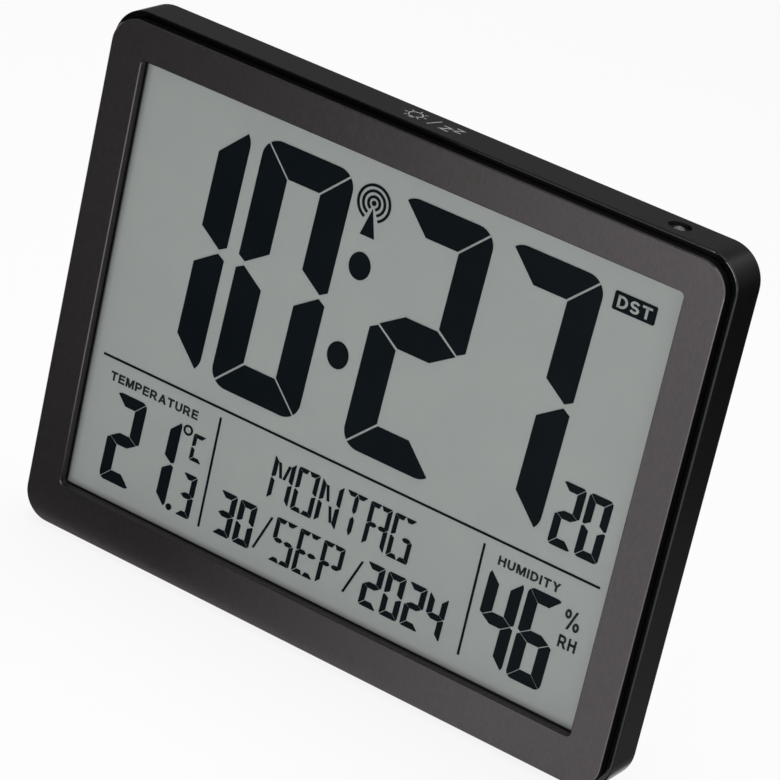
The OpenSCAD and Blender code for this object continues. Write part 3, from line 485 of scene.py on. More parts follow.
# Unpainted skirt plastic, darker than the case as painted shade of the gap, and the painted shade at the foot
# of the window wall.
BARE_AND_SHADE_COLOUR = linear(5, 5, 5)
FLAKES_PER_METRE = 3500.0
FLAKE_SHARE = 0.3
PAINT_METALLIC = 0.85
EDGE_SMOOTHER = 0.2
PAINT_GLOSS = 0.05
BRUSHED_RELIEF = 0.0006 * MM


def face_paint():
    """Brushed metallic paint with a painted highlight and painted shade on its chamfers, over black where the
    mask says so: unpainted plastic and painted shade.
    """
    material, tree, shader, position = new_material("face_paint")
    brushed = place_group(
        tree, STREAKS, position,
        Stretch=BRUSHED, Colour=PAINT_COLOUR, Streak_colour=PALE_COLOUR,
        Least_roughness=0.34, Most_roughness=0.4,
    )
    flakes = tree.nodes.new("ShaderNodeTexVoronoi")
    flakes.inputs["Scale"].default_value = FLAKES_PER_METRE
    tree.links.new(position, flakes.inputs["Vector"])
    sparkle = tree.nodes.new("ShaderNodeSeparateColor")
    tree.links.new(flakes.outputs["Color"], sparkle.inputs[0])
    speckled = math_node(tree, "MULTIPLY", sparkle.outputs[0], FLAKE_SHARE)
    paint = mix_colours(tree, speckled, brushed.outputs["Colour"], PALE_COLOUR)
    edge = edge_mask(tree, position)
    # Painted highlight on the chamfers, and painted shade on those along the window's upper and right edges.
    edge_highlight_and_shade = mix_colours(tree, unlit_mask(tree, position), EDGE_HIGHLIGHT_COLOUR, UNLIT_COLOUR)
    coated = mix_colours(tree, edge, paint, edge_highlight_and_shade)
    bare_and_shade = bare_and_shade_mask(tree, position)
    # Black where the skirt is unpainted, and as painted shade in the gap and deep in the window.
    colour = mix_colours(tree, bare_and_shade, coated, BARE_AND_SHADE_COLOUR)
    tree.links.new(colour, shader.inputs["Base Color"])
    painted = math_node(tree, "SUBTRACT", 1.0, bare_and_shade)
    tree.links.new(math_node(tree, "MULTIPLY", painted, PAINT_METALLIC), shader.inputs["Metallic"])
    smoother = math_node(tree, "MULTIPLY", edge, EDGE_SMOOTHER)
    rough = math_node(tree, "SUBTRACT", brushed.outputs["Roughness"], smoother)
    tree.links.new(rough, shader.inputs["Roughness"])
    shader.inputs["Specular IOR Level"].default_value = PAINT_GLOSS
    bump(tree, shader, brushed.outputs["Height"], BRUSHED_RELIEF)
    return material


finish_nodes(face_paint(), "front_bezel")

# %% [markdown]
# ## Display
#
# A reflective display is a pale grey-green sheet with blue-black segments. The front
# polariser is matt, so it hardly mirrors the room: a low specular level says so. The
# reflector lies behind the glass, and the window's frame shades it along the left and the
# lower edge: next to the frame the sheet is black, and then it clears over a few millimetres.
# Clear glass over a white film would need light from within to look like this, so the glass
# itself takes the sheet's colour.

# %% Glass and segments
WINDOW_LEFT = -98.15 * MM
WINDOW_FOOT = -72.25 * MM
SHADE_REACH = 3.2 * MM
SHADE_DEPTH = 0.45
LEFT_LINE = (0.1 * MM, 1.2 * MM)
FOOT_LINE = (0.2 * MM, 0.9 * MM)
FOOT_REACH = 3.0 * MM
SHADE_COLOUR = linear(30, 32, 31)
LINE_COLOUR = linear(10, 10, 11)
SHEET_ROUGHNESS = (0.32, 0.4)
SHEET_GRAINS = 4000.0
SHEET_RELIEF = 0.002 * MM
SHEET_GLOSS = 0.12
SEGMENT_GLOSS = 0.03


def display_sheet():
    """The pale sheet of the display, shaded by the window's frame."""
    material, tree, shader, position = new_material("display_grey")
    group = place_group(
        tree, GRAIN, position,
        Colour=linear(149, 153, 151), Patch_colour=linear(153, 158, 155), Grains_per_metre=SHEET_GRAINS,
        Least_roughness=SHEET_ROUGHNESS[0], Most_roughness=SHEET_ROUGHNESS[1],
    )
    coat(tree, shader, group)
    place = axes(tree, position)
    x, z = place["X"], place["Z"]
    foot = display_middle_z + WINDOW_FOOT
    clear = math_node(
        tree, "MULTIPLY",
        rise(tree, x, WINDOW_LEFT, WINDOW_LEFT + SHADE_REACH), rise(tree, z, foot, foot + FOOT_REACH),
    )
    inside = math_node(
        tree, "MULTIPLY",
        rise(tree, x, WINDOW_LEFT + LEFT_LINE[0], WINDOW_LEFT + LEFT_LINE[1]),
        rise(tree, z, foot + FOOT_LINE[0], foot + FOOT_LINE[1]),
    )
    shade = math_node(tree, "MULTIPLY", math_node(tree, "SUBTRACT", 1.0, clear), SHADE_DEPTH)
    shaded = mix_colours(tree, shade, group.outputs["Colour"], SHADE_COLOUR)
    colour = mix_colours(tree, inside, LINE_COLOUR, shaded)
    tree.links.new(colour, shader.inputs["Base Color"])
    shader.inputs["Specular IOR Level"].default_value = SHEET_GLOSS
    bump(tree, shader, group.outputs["Height"], SHEET_RELIEF)
    return material


def dark_area(name, colour, patch):
    """An area of the display that is switched on or printed."""
    return plastic(name, colour, patch, SHEET_ROUGHNESS, SHEET_GRAINS, SHEET_RELIEF, SEGMENT_GLOSS)


display_grey = display_sheet()
segment_dark = dark_area("segment_dark", (11, 17, 21), (14, 21, 25))
label_dark = dark_area("label_dark", (30, 37, 39), (36, 43, 45))
finish_nodes(display_grey, "lcd_glass")
finish_nodes(segment_dark, "lcd_segments")

# %% [markdown]
# ## Pieces inside
#
# They only show with the battery door open or in other uses of the model, but each has
# its own finish: green boards, black chips, white mouldings, copper, ferrite, nickel.

# %% Films, boards and components
finish_nodes(plastic("film_silver", (190, 192, 188), (200, 202, 198), (0.2, 0.3)), "transflector_film")
finish_nodes(plastic("film_white", (236, 236, 233), (228, 228, 225), (0.3, 0.4)), "backing_film", "leds")
board_green = plastic("board_green", (28, 92, 58), (22, 78, 48), (0.3, 0.42), grains=900.0)
finish_nodes(board_green, "main_board", "receiver_board", "sensor_board", "led_board")
finish_nodes(
    plastic("part_black", (27, 27, 28), (34, 34, 35), (0.4, 0.55)),
    "controller_chip", "button_switches", "receiver_chip", "buzzer",
)
part_white = plastic("part_white", (228, 227, 221), (220, 219, 212), (0.35, 0.5))
finish_nodes(part_white, "lcd_holder", "antenna_clips", "humidity_sensor")
finish_nodes(plastic("strip_grey", (58, 60, 65), (70, 72, 77), (0.6, 0.75)), "contact_strip")
finish_nodes(plastic("ferrite", (62, 62, 64), (50, 50, 52), (0.55, 0.7), grains=1500.0), "ferrite_rod")

# %% Metals, cells and screws
ALONG_X = (40.0, 4000.0, 4000.0)
ALONG_Y = (4000.0, 40.0, 4000.0)
ALONG_Z = (4000.0, 4000.0, 40.0)

nickel = metal("contact_nickel", (205, 203, 196), (186, 184, 178), (0.2, 0.32), ALONG_Z)
finish_nodes(
    nickel, "clock_crystal", "contact_link", "contact_positive", "contact_negative", "contact_springs"
)
copper = metal("copper", (196, 122, 78), (170, 98, 60), (0.28, 0.42), ALONG_X)
finish_nodes(copper, "antenna_coil", "touch_foil")
zinc = metal("screw_steel", (176, 176, 178), (150, 150, 153), (0.28, 0.45), ALONG_Y)
finish_nodes(zinc, "case_screws", "holder_screws", "board_screws")
cell_sleeve = metal("cell_sleeve", (150, 152, 156), (138, 140, 144), (0.3, 0.4), ALONG_X)
finish_nodes(cell_sleeve, "upper_cell", "lower_cell")

# %% [markdown]
# ## Clear pieces
#
# The light guide is clear acrylic. The light sensor in the top wall is a dome of milky
# plastic that spreads the light. Both take transmission on the Principled shader, with a
# faint clouding in the roughness.

# %% Acrylic and sensor dome
ACRYLIC_IOR = 1.49
CLOUD_GRAINS = 1200.0
CLOUD_DARKER = 8


def clear_plastic(name, colour, rough, clarity):
    """Moulding that lets a share of the light through."""
    material, tree, shader, position = new_material(name)
    group = place_group(
        tree, GRAIN, position,
        Colour=linear(*colour), Patch_colour=linear(*[c - CLOUD_DARKER for c in colour]),
        Grains_per_metre=CLOUD_GRAINS, Least_roughness=rough[0], Most_roughness=rough[1],
    )
    coat(tree, shader, group)
    shader.inputs["Transmission Weight"].default_value = clarity
    shader.inputs["IOR"].default_value = ACRYLIC_IOR
    return material


finish_nodes(clear_plastic("guide_clear", (244, 247, 249), (0.05, 0.12), 0.9), "light_guide")
finish_nodes(clear_plastic("lens_clear", (108, 107, 109), (0.3, 0.4), 0.3), "light_sensor")

# %% [markdown]
# ## Thin pieces on the display and on the case
#
# Printed words and signs could be a picture on the surface, but as thin raised films they
# are real shapes that the export keeps. Each is drawn flat in X and Y, given a small
# thickness, and then laid on its carrier: on the display, X stays X and Y becomes up; on
# the top wall, Y becomes the depth. The place goes into the mesh, so that the finished
# piece's object stays at the origin.

# %% Helpers for thin pieces
PRINT_THICKNESS = 0.03 * MM
SAME_POINT = 0.001 * MM

ON_DISPLAY = Matrix.Translation((0, display_y, display_middle_z)) @ Matrix.Rotation(math.pi / 2, 4, "X")
ON_TOP = Matrix.Translation((0, face_y, top_z))


def lay(mesh, name, carrier, material):
    """Makes a finished piece from a flat mesh and lets it ride on the case."""
    mesh.transform(carrier)
    piece = bpy.data.objects.new(name, mesh)
    bpy.context.scene.collection.objects.link(piece)
    mesh.materials.clear()
    mesh.materials.append(material)
    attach(piece, "case")
    print(name, len(mesh.polygons), "faces")


def film(outlines, thickness, lift=0.0):
    """A flat mesh with thickness from closed outlines given in millimetres."""
    build = bmesh.new()
    for outline in outlines:
        build.faces.new([build.verts.new((x * MM, y * MM, lift)) for x, y in outline])
    bmesh.ops.remove_doubles(build, verts=list(build.verts), dist=SAME_POINT)
    grown = bmesh.ops.extrude_face_region(build, geom=list(build.faces))
    for part in grown["geom"]:
        if isinstance(part, bmesh.types.BMVert):
            part.co.z += thickness
    bmesh.ops.recalc_face_normals(build, faces=list(build.faces))
    mesh = bpy.data.meshes.new("film")
    build.to_mesh(mesh)
    build.free()
    return mesh


def bow(x, y, across, along, start, end, steps=12):
    """Points on an elliptic arc, with its angles in degrees."""
    turns = [math.radians(start + (end - start) * i / steps) for i in range(steps + 1)]
    return [(x + across * math.cos(t), y + along * math.sin(t)) for t in turns]


def rounded_box(x0, x1, y0, y1, radius, steps=6):
    """Outline of a rectangle with rounded corners."""
    corners = [(x1 - radius, y1 - radius, 0), (x0 + radius, y1 - radius, 90),
               (x0 + radius, y0 + radius, 180), (x1 - radius, y0 + radius, 270)]
    return [point for x, y, a in corners for point in bow(x, y, radius, radius, a, a + 90, steps)]


def stroke(x0, y0, x1, y1, width):
    """Outline of a straight stroke between two points."""
    length = math.hypot(x1 - x0, y1 - y0)
    nx, ny = -(y1 - y0) / length * width / 2, (x1 - x0) / length * width / 2
    return [(x0 - nx, y0 - ny), (x1 - nx, y1 - ny), (x1 + nx, y1 + ny), (x0 + nx, y0 + ny)]


print("thickness of print", round(PRINT_THICKNESS / MM, 3), "mm")
print("thickness of segments", round(segment_thickness / MM, 3), "mm")

# %% [markdown]
# ## Words on the display
#
# The labels are plain bold capitals. A display maker draws them as strokes of one width,
# and so does this cell: each letter is a few ribbons and wedges in a box that is one unit
# high. A word is set letter by letter and then fitted to the box that the label fills on
# the display, in millimetres from the display's middle. Blender's own font could set them
# too, but its letters are thinner and need cleaning up. Strokes that cross in a letter
# share no edge, because a shared edge would leave its film open.

# %% Ribbons
STROKE = 0.19
LEAST_MITRE = 0.3


def ribbon(points, width=STROKE):
    """Quads along a line of points, mitred where the line turns."""
    sides = []
    for i, (x, y) in enumerate(points):
        x0, y0 = points[max(i - 1, 0)]
        x1, y1 = points[min(i + 1, len(points) - 1)]
        before = Vector((x - x0, y - y0)) if i else Vector((x1 - x, y1 - y))
        after = Vector((x1 - x, y1 - y)) if i < len(points) - 1 else before
        before, after = before.normalized(), after.normalized()
        middle = (before + after).normalized()
        reach = width / 2 / max(middle.dot(before), LEAST_MITRE)
        dx, dy = middle.y * reach, middle.x * reach
        sides.append(((x - dx, y + dy), (x + dx, y - dy)))
    return [[a[0], a[1], b[1], b[0]] for a, b in zip(sides, sides[1:])]


print("stroke of the letters:", STROKE, "of their height")

# %% Letters
GAP = 0.17
H = STROKE / 2
STEM = ribbon([(H, 0), (H, 1)])
P_BOWL = ribbon([(H, 1 - H), (0.4, 1 - H)] + bow(0.4, 0.665, 0.24, 0.24, 90, -90)[1:] + [(H, 0.425)])
S_LINE = bow(0.35, 0.7, 0.255, 0.2, 20, 270) + bow(0.35, 0.3, 0.255, 0.2, 90, -160)[1:]
LETTERS = {
    "T": (0.74, ribbon([(0, 1 - H), (0.74, 1 - H)]) + ribbon([(0.37, 0), (0.37, 1 - H)])),
    "E": (0.68, STEM + ribbon([(H, H), (0.68, H)]) + ribbon([(H, 0.52), (0.64, 0.52)])
          + ribbon([(H, 1 - H), (0.68, 1 - H)])),
    "M": (0.92, STEM + ribbon([(0.92 - H, 0), (0.92 - H, 1)])
          + [[(0.02, 1), (0.24, 1), (0.46, 0.36), (0.68, 1), (0.9, 1), (0.54, 0), (0.38, 0)]]),
    "P": (0.74, STEM + P_BOWL),
    "R": (0.82, STEM + P_BOWL + [[(0.32, 0.43), (0.55, 0.43), (0.82, 0), (0.59, 0)]]),
    "A": (0.86, [[(0, 0), (0.21, 0), (0.43, 0.677), (0.65, 0), (0.86, 0), (0.535, 1), (0.325, 1)],
                 [(0.2, 0.2), (0.66, 0.2), (0.6, 0.37), (0.26, 0.37)]]),
    "V": (0.86, [[(0, 1), (0.21, 1), (0.43, 0.323), (0.65, 1), (0.86, 1), (0.535, 0), (0.325, 0)]]),
    "W": (1.2, [[(0, 1), (0.19, 1), (0.348, 0.34), (0.52, 1), (0.68, 1), (0.852, 0.34), (1.01, 1),
                 (1.2, 1), (0.94, 0), (0.77, 0), (0.6, 0.68), (0.43, 0), (0.26, 0)]]),
    "L": (0.66, STEM + ribbon([(H, H), (0.66, H)])),
    "F": (0.66, STEM + ribbon([(H, 0.5), (0.6, 0.5)]) + ribbon([(H, 1 - H), (0.66, 1 - H)])),
    "C": (0.74, ribbon(bow(0.4, 0.5, 0.4 - H, 0.5 - H, 48, 312, 20))),
    "/": (0.5, [[(0, 0), (0.17, 0), (0.5, 1), (0.33, 1)]]),
    "U": (0.76, ribbon([(H, 1)] + bow(0.38, 0.38, 0.38 - H, 0.38 - H, 180, 360) + [(0.76 - H, 1)])),
    "H": (0.76, STEM + ribbon([(0.76 - H, 0), (0.76 - H, 1)]) + ribbon([(H, 0.53), (0.76 - H, 0.53)])),
    "I": (STROKE, STEM),
    "D": (0.76, STEM + ribbon([(H, 1 - H), (0.3, 1 - H)]
                              + bow(0.3, 0.5, 0.365, 0.5 - H, 90, -90)[1:] + [(H, H)])),
    "Y": (0.82, [[(0, 1), (0.23, 1), (0.41, 0.69), (0.59, 1), (0.82, 1), (0.51, 0.48), (0.51, 0),
                  (0.31, 0), (0.31, 0.48)]]),
    "S": (0.7, ribbon(S_LINE)),
    "%": (1.0, ribbon(bow(0.2, 0.76, 0.13, 0.17, 0, 360, 24), 0.13)
          + ribbon(bow(0.8, 0.24, 0.13, 0.17, 0, 360, 24), 0.13)
          + [[(0.22, 0), (0.36, 0), (0.78, 1), (0.64, 1)]]),
}


def words(text, low, high):
    """Outlines of a word that fills the box from low to high, in millimetres."""
    outlines, start = [], 0.0
    for letter in text:
        width, faces = LETTERS[letter]
        outlines += [[(start + x, y) for x, y in face] for face in faces]
        start += width + GAP
    wide = (high[0] - low[0]) / (start - GAP)
    tall = high[1] - low[1]
    return [[(low[0] + x * wide, low[1] + y * tall) for x, y in face] for face in outlines]


print("letters drawn:", "".join(LETTERS))

# %% Labels
for name, text, low, high in [
    ("label_temperature", "TEMPERATURE", (-89.0, -31.7), (-54.3, -28.7)),
    ("label_humidity", "HUMIDITY", (59.6, -31.7), (81.8, -28.7)),
    ("label_percent", "%", (85.3, -41.4), (90.9, -34.9)),
    ("label_relative", "RH", (85.2, -47.9), (91.4, -43.8)),
]:
    lay(film(words(text, low, high), segment_thickness), name, ON_DISPLAY, label_dark)

# %% Summer time sign
SUMMER_BOX = (75.5, 89.9, 59.7, 65.6)
SUMMER_CORNER = 0.6

summer_box = film([rounded_box(*SUMMER_BOX, SUMMER_CORNER)], segment_thickness)
lay(summer_box, "summer_time_box", ON_DISPLAY, segment_dark)
summer_words = film(words("DST", (76.9, 60.7), (88.5, 64.6)), PRINT_THICKNESS, lift=segment_thickness)
lay(summer_words, "summer_time_words", ON_DISPLAY, display_grey)

# %% [markdown]
# ## Rings of the radio mast
#
# The reception sign has three rings of the same stroke around a dot, open at the bottom
# where the mast stands. Because they follow a rule, a Geometry Nodes tree makes them: one
# arc is instanced with a growing scale, the instances are made real, and only then is a
# flat profile swept along them, so that every ring keeps the same stroke.

# %% Helper for Geometry Nodes
def geometry_tree(name, inputs):
    """A Geometry Nodes tree with named inputs."""
    tree = bpy.data.node_groups.new(name, "GeometryNodeTree")
    tree.interface.new_socket("Geometry", in_out="INPUT", socket_type="NodeSocketGeometry")
    for label, kind in inputs:
        tree.interface.new_socket(label, in_out="INPUT", socket_type=kind)
    tree.interface.new_socket("Geometry", in_out="OUTPUT", socket_type="NodeSocketGeometry")
    return tree, tree.nodes.new("NodeGroupInput").outputs, tree.nodes.new("NodeGroupOutput").inputs


def add(tree, kind, **links):
    """A node of a tree, with sockets or values put into its inputs by name."""
    node = tree.nodes.new(kind)
    for label, value in links.items():
        feed(tree, node.inputs[label.replace("_", " ")], value)
    return node


def run_tree(tree, values):
    """The plain mesh that a tree makes with these inputs."""
    holder = bpy.data.objects.new("tree", bpy.data.meshes.new("tree"))
    bpy.context.scene.collection.objects.link(holder)
    modifier = holder.modifiers.new("tree", "NODES")
    modifier.node_group = tree
    for socket in tree.interface.items_tree:
        if socket.in_out == "INPUT" and socket.name in values:
            modifier[socket.identifier] = values[socket.name]
    mesh = bpy.data.meshes.new_from_object(holder.evaluated_get(bpy.context.evaluated_depsgraph_get()))
    holder.modifiers.remove(modifier)
    bpy.data.objects.remove(holder)
    return mesh


# %% Ring tree
ARC_POINTS = 48


def ring_tree(material):
    """Concentric arcs of one stroke."""
    tree, taken, given = geometry_tree(
        "rings",
        [
            ("Rings", "NodeSocketInt"), ("First radius", "NodeSocketFloat"), ("Pitch", "NodeSocketFloat"),
            ("Stroke", "NodeSocketFloat"), ("Thickness", "NodeSocketFloat"),
            ("Start", "NodeSocketFloat"), ("Sweep", "NodeSocketFloat"),
        ],
    )
    arc = add(
        tree, "GeometryNodeCurveArc", Resolution=ARC_POINTS, Radius=1.0,
        Start_Angle=taken["Start"], Sweep_Angle=taken["Sweep"],
    )
    spots = add(tree, "GeometryNodeMeshLine", Count=taken["Rings"], Offset=(0.0, 0.0, 0.0))
    index = tree.nodes.new("GeometryNodeInputIndex").outputs[0]
    radius = math_node(tree, "ADD", taken["First radius"], math_node(tree, "MULTIPLY", index, taken["Pitch"]))
    placed = add(
        tree, "GeometryNodeInstanceOnPoints", Points=spots.outputs[0], Instance=arc.outputs[0], Scale=radius
    )
    real = add(tree, "GeometryNodeRealizeInstances", Geometry=placed.outputs[0])
    profile = add(
        tree, "GeometryNodeCurvePrimitiveQuadrilateral", Width=taken["Stroke"], Height=taken["Thickness"]
    )
    band = add(
        tree, "GeometryNodeCurveToMesh", Curve=real.outputs[0], Profile_Curve=profile.outputs[0],
        Fill_Caps=True,
    )
    flat = add(tree, "GeometryNodeSetMaterial", Geometry=band.outputs[0], Material=material)
    tree.links.new(flat.outputs[0], given["Geometry"])
    return tree


dark_rings = ring_tree(segment_dark)
print("geometry tree:", dark_rings.name)

# %% Rings around the mast's tip
MAST_X, MAST_Z = -9.0, 60.05
MAST_OPENING = math.radians(52)

rings = run_tree(
    dark_rings,
    {
        "Rings": 3, "First radius": 2.03 * MM, "Pitch": 1.81 * MM, "Stroke": 0.88 * MM,
        "Thickness": segment_thickness,
        "Start": -math.pi / 2 + MAST_OPENING / 2, "Sweep": 2 * math.pi - MAST_OPENING,
    },
)
rings.transform(Matrix.Translation((MAST_X * MM, MAST_Z * MM, segment_thickness / 2)))
lay(rings, "mast_rings", ON_DISPLAY, segment_dark)

# %% Mast, dot and degree sign
MAST_TIP_Z, MAST_FOOT_Z, MAST_FOOT_HALF = 58.2, 49.2, 2.6
DOT_RADIUS, DOT_STEPS = 0.82, 32
DEGREE_X, DEGREE_Z = -56.7, -36.2

mast = [(MAST_X, MAST_TIP_Z), (MAST_X - MAST_FOOT_HALF, MAST_FOOT_Z), (MAST_X + MAST_FOOT_HALF, MAST_FOOT_Z)]
dot = bow(MAST_X, MAST_Z, DOT_RADIUS, DOT_RADIUS, 0, 360, DOT_STEPS)[:-1]
lay(film([mast, dot], segment_thickness), "mast", ON_DISPLAY, segment_dark)

degree = run_tree(
    dark_rings,
    {"Rings": 1, "First radius": 1.45 * MM, "Pitch": 0.0, "Stroke": 0.7 * MM, "Thickness": segment_thickness,
     "Start": 0.0, "Sweep": 2 * math.pi},
)
degree.transform(Matrix.Translation((DEGREE_X * MM, DEGREE_Z * MM, segment_thickness / 2)))
lay(degree, "degree_sign", ON_DISPLAY, segment_dark)

# %% [markdown]
# ## Print on the top wall
#
# A lamp and two letters Z, parted by a slash, mark the place to touch for light and for
# snooze. The print is light grey. The lamp's rays repeat around it, so a second tree puts
# one short bar on each point of an arc and turns it outwards.

# %% Ray tree
print_grey = plastic("print_grey", (158, 155, 159), (146, 143, 147), (0.5, 0.6), gloss=0.1)


def ray_tree(material):
    """Short bars that point outwards along an arc."""
    tree, taken, given = geometry_tree(
        "rays",
        [
            ("Rays", "NodeSocketInt"), ("Radius", "NodeSocketFloat"), ("Length", "NodeSocketFloat"),
            ("Stroke", "NodeSocketFloat"), ("Thickness", "NodeSocketFloat"),
            ("Start", "NodeSocketFloat"), ("Sweep", "NodeSocketFloat"),
        ],
    )
    arc = add(
        tree, "GeometryNodeCurveArc", Resolution=taken["Rays"], Radius=taken["Radius"],
        Start_Angle=taken["Start"], Sweep_Angle=taken["Sweep"],
    )
    points = add(tree, "GeometryNodeCurveToPoints", Curve=arc.outputs[0])
    points.mode = "EVALUATED"
    size = add(tree, "ShaderNodeCombineXYZ", X=taken["Length"], Y=taken["Stroke"], Z=taken["Thickness"])
    bar = add(tree, "GeometryNodeMeshCube", Size=size.outputs[0])
    away = tree.nodes.new("GeometryNodeInputPosition").outputs[0]
    turned = add(tree, "FunctionNodeAlignRotationToVector", Vector=away)
    turned.axis = "X"
    turned.pivot_axis = "Z"
    placed = add(
        tree, "GeometryNodeInstanceOnPoints", Points=points.outputs[0], Instance=bar.outputs[0],
        Rotation=turned.outputs[0],
    )
    real = add(tree, "GeometryNodeRealizeInstances", Geometry=placed.outputs[0])
    coated = add(tree, "GeometryNodeSetMaterial", Geometry=real.outputs[0], Material=material)
    tree.links.new(coated.outputs[0], given["Geometry"])
    return tree


print_rays = ray_tree(print_grey)
print("geometry tree:", print_rays.name)

# %% Lamp with its rays
LAMP_X, LAMP_V = -6.2, 11.5
LAMP_PLACE = Matrix.Translation((LAMP_X * MM, LAMP_V * MM, PRINT_THICKNESS / 2))

rays = run_tree(
    print_rays,
    {"Rays": 7, "Radius": 3.35 * MM, "Length": 1.1 * MM, "Stroke": 0.4 * MM, "Thickness": PRINT_THICKNESS,
     "Start": math.radians(-49), "Sweep": math.radians(279)},
)
rays.transform(LAMP_PLACE)
lay(rays, "lamp_rays", ON_TOP, print_grey)

bulb = run_tree(
    ring_tree(print_grey),
    {"Rings": 1, "First radius": 2.2 * MM, "Pitch": 0.0, "Stroke": 0.5 * MM, "Thickness": PRINT_THICKNESS,
     "Start": math.radians(-58), "Sweep": math.radians(296)},
)
bulb.transform(LAMP_PLACE)
lay(bulb, "lamp_bulb", ON_TOP, print_grey)

# %% Lamp foot, slash and letters
LAMP_FOOT = [(1.1, 9.0), (0.8, 8.2)]
LAMP_FOOT_WIDTH = 0.4
SLASH = (-0.2, 8.2, 1.6, 14.2, 0.42)
BIG_Z = (3.7, 7.1, 8.4, 12.3, 0.56)
SMALL_Z = (7.3, 10.3, 10.6, 14.1, 0.52)


def letter_z(x0, x1, y0, y1, width):
    """Three strokes of a letter Z."""
    half = width / 2
    return [
        stroke(x0, y1 - half, x1, y1 - half, width),
        stroke(x0 + half, y0 + half, x1 - half, y1 - half, width),
        stroke(x0, y0 + half, x1, y0 + half, width),
    ]


marks = [stroke(LAMP_X - half, v, LAMP_X + half, v, LAMP_FOOT_WIDTH) for half, v in LAMP_FOOT]
marks += [stroke(*SLASH)] + letter_z(*BIG_Z) + letter_z(*SMALL_Z)
lay(film(marks, PRINT_THICKNESS), "touch_marks", ON_TOP, print_grey)

# %% [markdown]
# ## Words at the buttons
#
# The six buttons at the back need signs that tell them apart: plain words and two arrows,
# in the same light print as on the top wall. Their places could be typed, but they come
# from the buttons' boxes, so that each sign stays over its button. Seen from behind, right
# and left change sides, and the carrier turns the drawing round for that.

# %% Signs over the six buttons
BUTTON_WORDS = {"set_button": "SET", "alarm_button": "ALARM", "wave_button": "WAVE", "unit_button": "C/F"}
BUTTON_ARROWS = {"up_button": 1, "down_button": -1}
SIGN_OVER_BUTTON = 7.4
SIGN_HEIGHT = 2.2
ARROW_HALF = 1.3

ON_BACK = Matrix.Translation((0, face_y + BACK_FROM[1], 0)) @ Matrix(
    ((-1, 0, 0, 0), (0, 0, 1, 0), (0, 1, 0, 0), (0, 0, 0, 1))
)


def word_over(text, x, y):
    """Outlines of a word in its natural width, with its middle over a point."""
    wide = SIGN_HEIGHT * (sum(LETTERS[letter][0] for letter in text) + GAP * (len(text) - 1))
    low = y - SIGN_HEIGHT / 2
    return words(text, (x - wide / 2, low), (x + wide / 2, low + SIGN_HEIGHT))


def arrow_over(way, x, y):
    """Outline of a triangle that points up (1) or down (-1)."""
    tip = way * SIGN_HEIGHT / 2
    return [[(x - ARROW_HALF, y - tip), (x + ARROW_HALF, y - tip), (x, y + tip)]]


for name in BUTTONS:
    low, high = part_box(name)
    middle = (low + high) / 2 / MM
    spot = (-middle.x, middle.z + SIGN_OVER_BUTTON)
    if name in BUTTON_WORDS:
        outlines = word_over(BUTTON_WORDS[name], *spot)
    else:
        outlines = arrow_over(BUTTON_ARROWS[name], *spot)
    lay(film(outlines, PRINT_THICKNESS), name + "_sign", ON_BACK, print_grey)

# %% [markdown]
# ## Studio
#
# The clock stands on a plain pale floor in soft light. The floor and the world are white
# for the camera and for reflections; the floor keeps a soft shadow. Broad lamps from the
# front and from above light the clock so that a colour renders about as it is written.
# More light would also turn the background white, but it would bleach the display, so the
# floor and the world tell apart which ray asks for their colour.

# %% Floor
FLOOR_HALF = 6.0
FLOOR_GREY = (0.82, 0.82, 0.82, 1)
SHADOW_SHARE = 0.12


def seen_directly(tree):
    """1 for the rays that see the background: from the camera, by reflection or through glass."""
    path = tree.nodes.new("ShaderNodeLightPath")
    seen = math_node(tree, "MAXIMUM", path.outputs["Is Camera Ray"], path.outputs["Is Glossy Ray"])
    return math_node(tree, "MAXIMUM", seen, path.outputs["Is Transmission Ray"])


def white_floor():
    """A white floor that darkens only where the clock shades it."""
    material, tree = empty_material("floor")
    matt = tree.nodes.new("ShaderNodeBsdfDiffuse")
    matt.inputs["Color"].default_value = FLOOR_GREY
    glow = tree.nodes.new("ShaderNodeEmission")
    mixed = tree.nodes.new("ShaderNodeMixShader")
    tree.links.new(math_node(tree, "MULTIPLY", seen_directly(tree), 1 - SHADOW_SHARE), mixed.inputs[0])
    tree.links.new(matt.outputs[0], mixed.inputs[1])
    tree.links.new(glow.outputs[0], mixed.inputs[2])
    output = tree.nodes.new("ShaderNodeOutputMaterial")
    tree.links.new(mixed.outputs[0], output.inputs["Surface"])
    return material


floor_mesh = bpy.data.meshes.new("floor")
floor_mesh.from_pydata(
    [(x * FLOOR_HALF, y * FLOOR_HALF, 0) for x, y in ((-1, -1), (1, -1), (1, 1), (-1, 1))], [], [(0, 1, 2, 3)]
)
floor = bpy.data.objects.new("floor", floor_mesh)
floor_mesh.materials.append(white_floor())
bpy.context.scene.collection.objects.link(floor)
print("floor of", 2 * FLOOR_HALF, "m")

# %% World
AMBIENT_STRENGTH = 0.3

world = bpy.data.worlds.new("studio")
bpy.context.scene.world = world
world.use_nodes = True
sky = world.node_tree
sky.nodes.clear()
ambient = sky.nodes.new("ShaderNodeBackground")
ambient.inputs["Strength"].default_value = AMBIENT_STRENGTH
backdrop = sky.nodes.new("ShaderNodeBackground")
backdrop.inputs["Color"].default_value = (1, 1, 1, 1)
choice = sky.nodes.new("ShaderNodeMixShader")
sky.links.new(seen_directly(sky), choice.inputs[0])
sky.links.new(ambient.outputs[0], choice.inputs[1])
sky.links.new(backdrop.outputs[0], choice.inputs[2])
sky.links.new(choice.outputs[0], sky.nodes.new("ShaderNodeOutputWorld").inputs["Surface"])
print("ambient light", AMBIENT_STRENGTH, "and a white backdrop")

